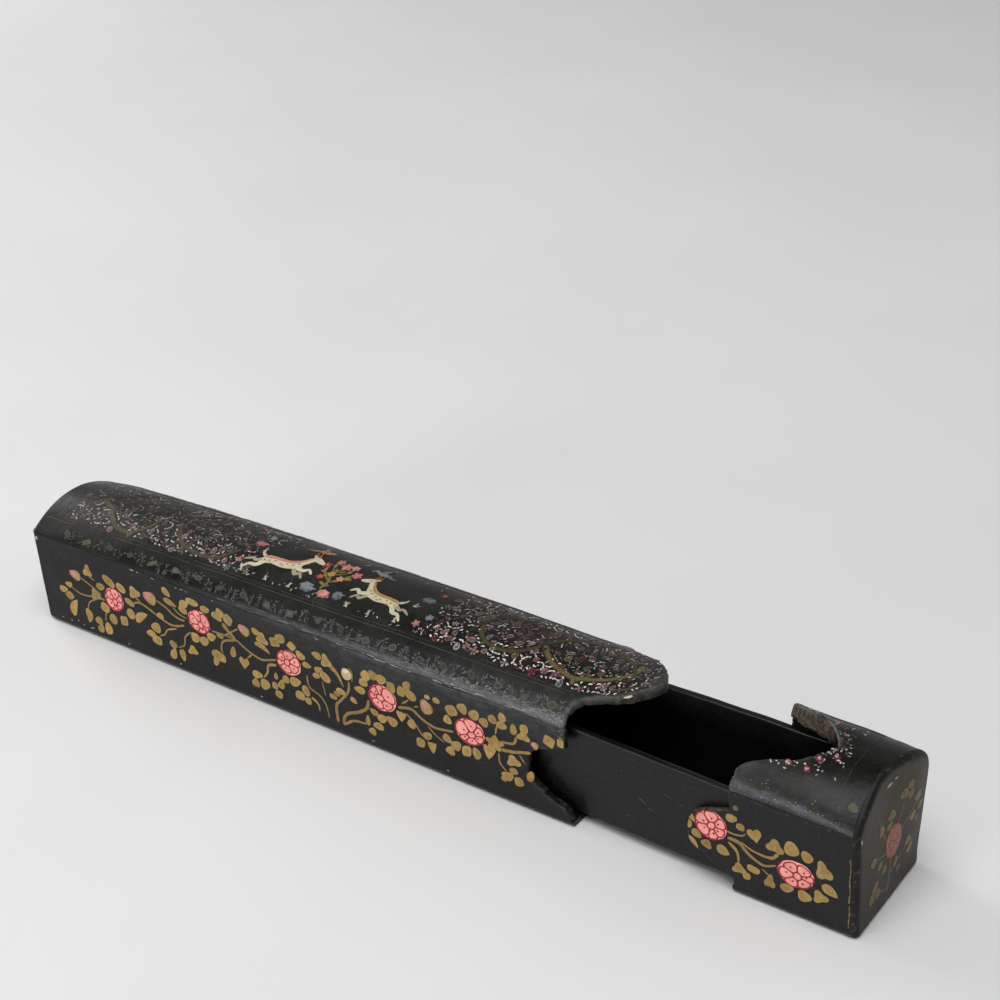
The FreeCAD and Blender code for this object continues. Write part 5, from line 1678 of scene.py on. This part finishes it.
# pale flecks along the wall's top edge, fainter towards the blind end: partly chipped wear, partly a painted highlight
# along the crease
for _ in range(60):
    x = rng.uniform(-106, 102)
    chip(P, near_at, x, 33.25 + rng.uniform(-0.2, 0.2), rng.uniform(0.6, 2.6), rng.uniform(0.10, 0.24), shade(lin(140, 136, 122), rng.uniform(0.15, 0.7) * (0.35 if x < 20 else 1.0)))
chip(P, dome_at, 119.4, 14.7, 3.2, 0.9, lin(214, 204, 170), 25)
# frayed upper corner of the near wall at the mouth
for _ in range(26):
    z = rng.uniform(28.4, 33.2)
    chip(P, near_at, XM - SEAM + float(bracket(z)) - 0.9 - abs(rng.gauss(0, 0.9)), z, rng.uniform(0.3, 0.9), rng.uniform(0.2, 0.5), shade(lin(168, 166, 158), rng.uniform(0.08, 0.7)), rng.uniform(0, 180))
for _ in range(30):
    q = abs(rng.gauss(0, 1.6)) + 0.5
    chip(P, dome_at, XM - SEAM + float(ogee(dome_frame(q)[0])) - 1.2 - abs(rng.gauss(0, 1.6)), q, rng.uniform(0.3, 1.1), rng.uniform(0.2, 0.45), shade(lin(168, 168, 164), rng.uniform(0.1, 0.8)), rng.uniform(-30, 60))
# a broken bright line along the shoulder crease, strongest about x = 52: partly worn edge, partly a painted highlight
x = -30.0
while x < 101.0:
    l = rng.uniform(0.6, 4.5)
    k = math.exp(-((x - 52) / 46) ** 2)
    if rng.random() < 0.30 + 0.6 * k:
        q = rng.choice((0.38, 0.42, 0.5, 0.8, 1.2)) + rng.uniform(-0.06, 0.06)
        P.stroke([(x, q), (x + l / 2, q + rng.uniform(-0.12, 0.12)), (x + l, q + rng.uniform(-0.1, 0.1))], rng.uniform(0.14, 0.36), rng.uniform(0.10, 0.32), dome_at, shade(lin(196, 198, 194), rng.uniform(0.12, 1.0) * (0.3 + 0.7 * k)), 0.02, 0.8)
    x += l + rng.uniform(-0.5, 0.8)
# scratches on the pale strip above it, which is partly rubbed wear and partly painted highlight
for _ in range(170):
    x = rng.gauss(58, 34)
    if not -20 < x < 99:
        continue
    q, l, a = rng.uniform(0.8, 4.2), rng.uniform(0.6, 3.4), rng.uniform(-14, 14)
    t = math.radians(a)
    P.stroke([(x - l / 2 * math.cos(t), q - l / 2 * math.sin(t)), (x, q + rng.uniform(-0.08, 0.08)), (x + l / 2 * math.cos(t), q + l / 2 * math.sin(t))], 0.14, 0.08, dome_at, shade(lin(150, 153, 154), rng.uniform(0.15, 0.8)), 0.02, 0.8)
# bright scuffs on the shoulder next to the mouth, thinning along it: partly worn lacquer, partly a painted highlight on
# the rounded shoulder
for _ in range(90):
    x, q = 103.6 - abs(rng.gauss(0, 8.5)), 1.0 + abs(rng.gauss(0, 1.9))
    l, a = rng.uniform(0.4, 1.9), math.radians(rng.uniform(-22, 22))
    P.stroke([(x - l / 2 * math.cos(a), max(0.3, q - l / 2 * math.sin(a))), (x, q), (x + l / 2 * math.cos(a), max(0.3, q + l / 2 * math.sin(a)))], rng.uniform(0.12, 0.34), 0.10, dome_at,
             shade(lin(172, 174, 174), rng.uniform(0.12, 0.75)), 0.03, 0.8)
P.done("sleeve_chips", "sleeve", "sleeve_lacquer", M_PAINT)
P = Paint()
# grey specks above the cap's shoulder: partly chipped wear, partly painted glints in its highlight
for _ in range(90):
    x, q = rng.uniform(159.5, 192), abs(rng.gauss(0, 2.6)) + 1.0
    if q < 9:
        chip(P, dome_at, x, q, rng.uniform(0.2, 0.55), rng.uniform(0.2, 0.42), shade(lin(140, 144, 146), rng.uniform(0.2, 1.0)), rng.uniform(0, 90))
chip(P, cap_end_at, -2, 40.2, 3.6, 1.0, shade(CHIP, 0.8), 8)
chip(P, cap_end_at, 1.4, 40.8, 1.6, 0.6, shade(CHIP, 0.7))
chip(P, cap_end_at, -18.8, 32.0, 0.9, 1.8, shade(CHIP, 0.9))
for _ in range(24):
    chip(P, near_at, rng.uniform(159, 194), 33.3 + rng.uniform(-0.15, 0.15), rng.uniform(0.5, 1.8), rng.uniform(0.10, 0.22), shade(lin(140, 138, 130), rng.uniform(0.08, 0.4)))
P.done("cap_chips", "drawer", "cap_lacquer", M_PAINT)

# a few scratches on the tray's sides
def tray_near(x, z, off=0.0):
    x, z = np.broadcast_arrays(np.asarray(x, float), np.asarray(z, float))
    return np.stack([x, -DRAWER_HW + bow(x) + 0.06 * np.sin(x * 0.05 + 0.6) - off * 0.5, z], -1)


P = Paint()
for x, z, l, a, k in ((128.5, 16.4, 2.6, -24, 0.9), (131.4, 14.6, 1.6, -10, 0.7), (137.0, 21.6, 3.2, -12, 0.5), (141.4, 20.4, 2.4, 0, 0.45), (118.0, 27.2, 5.0, -2, 0.10), (127.0, 26.8, 6.0, 1, 0.12), (138.0, 26.6, 4.0, 0, 0.10),
                      (121.5, 24.0, 1.0, 40, 0.6), (113.6, 12.0, 1.2, 60, 0.4), (124.2, 9.2, 1.4, 30, 0.5), (133.0, 7.4, 1.2, -30, 0.35), (116.5, 19.0, 0.8, 70, 0.35), (146.0, 28.2, 3.0, -6, 0.3)):
    c, t = (x, z), math.radians(a)
    P.stroke([(x - l / 2 * math.cos(t), z - l / 2 * math.sin(t)), (x, z + 0.06 * l), (x + l / 2 * math.cos(t), z + l / 2 * math.sin(t))], 0.16, 0.10, tray_near, shade(lin(140, 138, 130), 0.55 * k), 0.03, 0.6)
P.done("tray_scratches", "drawer", "tray_lacquer", M_PAINT)

# --- stage ---------------------------------------------------------------------------
def floor_material():
    n = Nodes("floor_plain")
    c = n.coords()
    col = n.mix(n.ramp(n.noise(c, 6, 3, 0.5), (0.3, 0.0), (0.7, 1.0)), (0.74, 0.74, 0.74, 1), (0.78, 0.78, 0.78, 1))
    ro = n.math("ADD", n.math("MULTIPLY", n.noise(c, 30, 2, 0.5), 0.1), 0.6)
    return n.finish(col, ro, n.bump(n.noise(c, 300, 3, 0.5), 0.0002, 0.1))


me = bpy.data.meshes.new("floor")
bm = bmesh.new()
bmesh.ops.create_grid(bm, x_segments=8, y_segments=8, size=6.0)
bm.to_mesh(me)
bm.free()
floor = bpy.data.objects.new("floor", me)
bpy.context.scene.collection.objects.link(floor)
floor.location = (0, 0, 0)
me.materials.append(floor_material())

world = bpy.data.worlds.new("studio")
bpy.context.scene.world = world
world.use_nodes = True
wt = world.node_tree
bg = wt.nodes["Background"]
bg.inputs["Strength"].default_value = 1.0
# a pale wall behind, a dim room in front and a dark ceiling
wc = wt.nodes.new("ShaderNodeTexCoord")
wx = wt.nodes.new("ShaderNodeSeparateXYZ")
wt.links.new(wc.outputs["Generated"], wx.inputs[0])


def world_ramp(src, *stops):
    r = wt.nodes.new("ShaderNodeValToRGB")
    els = r.color_ramp.elements
    while len(els) < len(stops):
        els.new(0.5)
    for e, (q, v) in zip(els, stops):
        e.position = q
        e.color = (v, v, v, 1)
    wt.links.new(src, r.inputs["Fac"])
    return r.outputs["Color"]


half = wt.nodes.new("ShaderNodeMath")
half.operation = "MULTIPLY_ADD"
half.inputs[1].default_value = 0.5
half.inputs[2].default_value = 0.5
wt.links.new(wx.outputs["Y"], half.inputs[0])
up = world_ramp(wx.outputs["Z"], (0.0, 0.50), (0.40, 0.44), (0.62, 0.14), (1.0, 0.12))
aft = world_ramp(half.outputs[0], (0.0, 0.42), (0.42, 0.42), (0.66, 1.0), (1.0, 1.0))
wm = wt.nodes.new("ShaderNodeMix")
wm.data_type = "RGBA"
wm.blend_type = "MULTIPLY"
wm.inputs[0].default_value = 1.0
wt.links.new(up, wm.inputs[6])
wt.links.new(aft, wm.inputs[7])
wt.links.new(wm.outputs[2], bg.inputs["Color"])


def area(name, loc, target, size, power, col=(1, 1, 1)):
    li = bpy.data.lights.new(name, "AREA")
    li.shape = "RECTANGLE"
    li.size, li.size_y = size
    li.energy = power
    li.color = col
    o = bpy.data.objects.new(name, li)
    o.location = loc
    o.rotation_mode = "QUATERNION"
    o.rotation_quaternion = (Vector(target) - Vector(loc)).to_track_quat("-Z", "Y")
    bpy.context.scene.collection.objects.link(o)
    return o


area("top", (0.22, -0.55, 1.75), (0.03, 0, 0.02), (1.5, 1.5), 28)
area("key", (-1.9, 0.30, 0.75), (0.02, 0, 0.02), (1.2, 0.9), 21)
area("front", (-0.48, -1.92, 0.28), (0.05, 0, 0.02), (0.8, 0.45), 16)

# --- camera, at the viewing angle of the reference -----------------------------------------
cd = bpy.data.cameras.new("camera")
cam = bpy.data.objects.new("camera", cd)
bpy.context.scene.collection.objects.link(cam)
cd.sensor_width = 36.0
cd.lens = 71.9866
cd.clip_start, cd.clip_end = 0.01, 50
pitch, yaw, roll = 0.49759, -0.59796, 0.01132
fwd = Vector((math.sin(yaw) * math.cos(pitch), math.cos(yaw) * math.cos(pitch), -math.sin(pitch)))
right = Vector((math.cos(yaw), -math.sin(yaw), 0))
down = fwd.cross(right)
r2 = right * math.cos(roll) + down * math.sin(roll)
d2 = down * math.cos(roll) - right * math.sin(roll)
m = Matrix((r2, -d2, -fwd)).transposed().to_4x4()
m.translation = Vector((0.35604, -0.42170, 0.36638))
cam.matrix_world = m
bpy.context.scene.camera = cam
bpy.context.scene.view_settings.view_transform = "Standard"
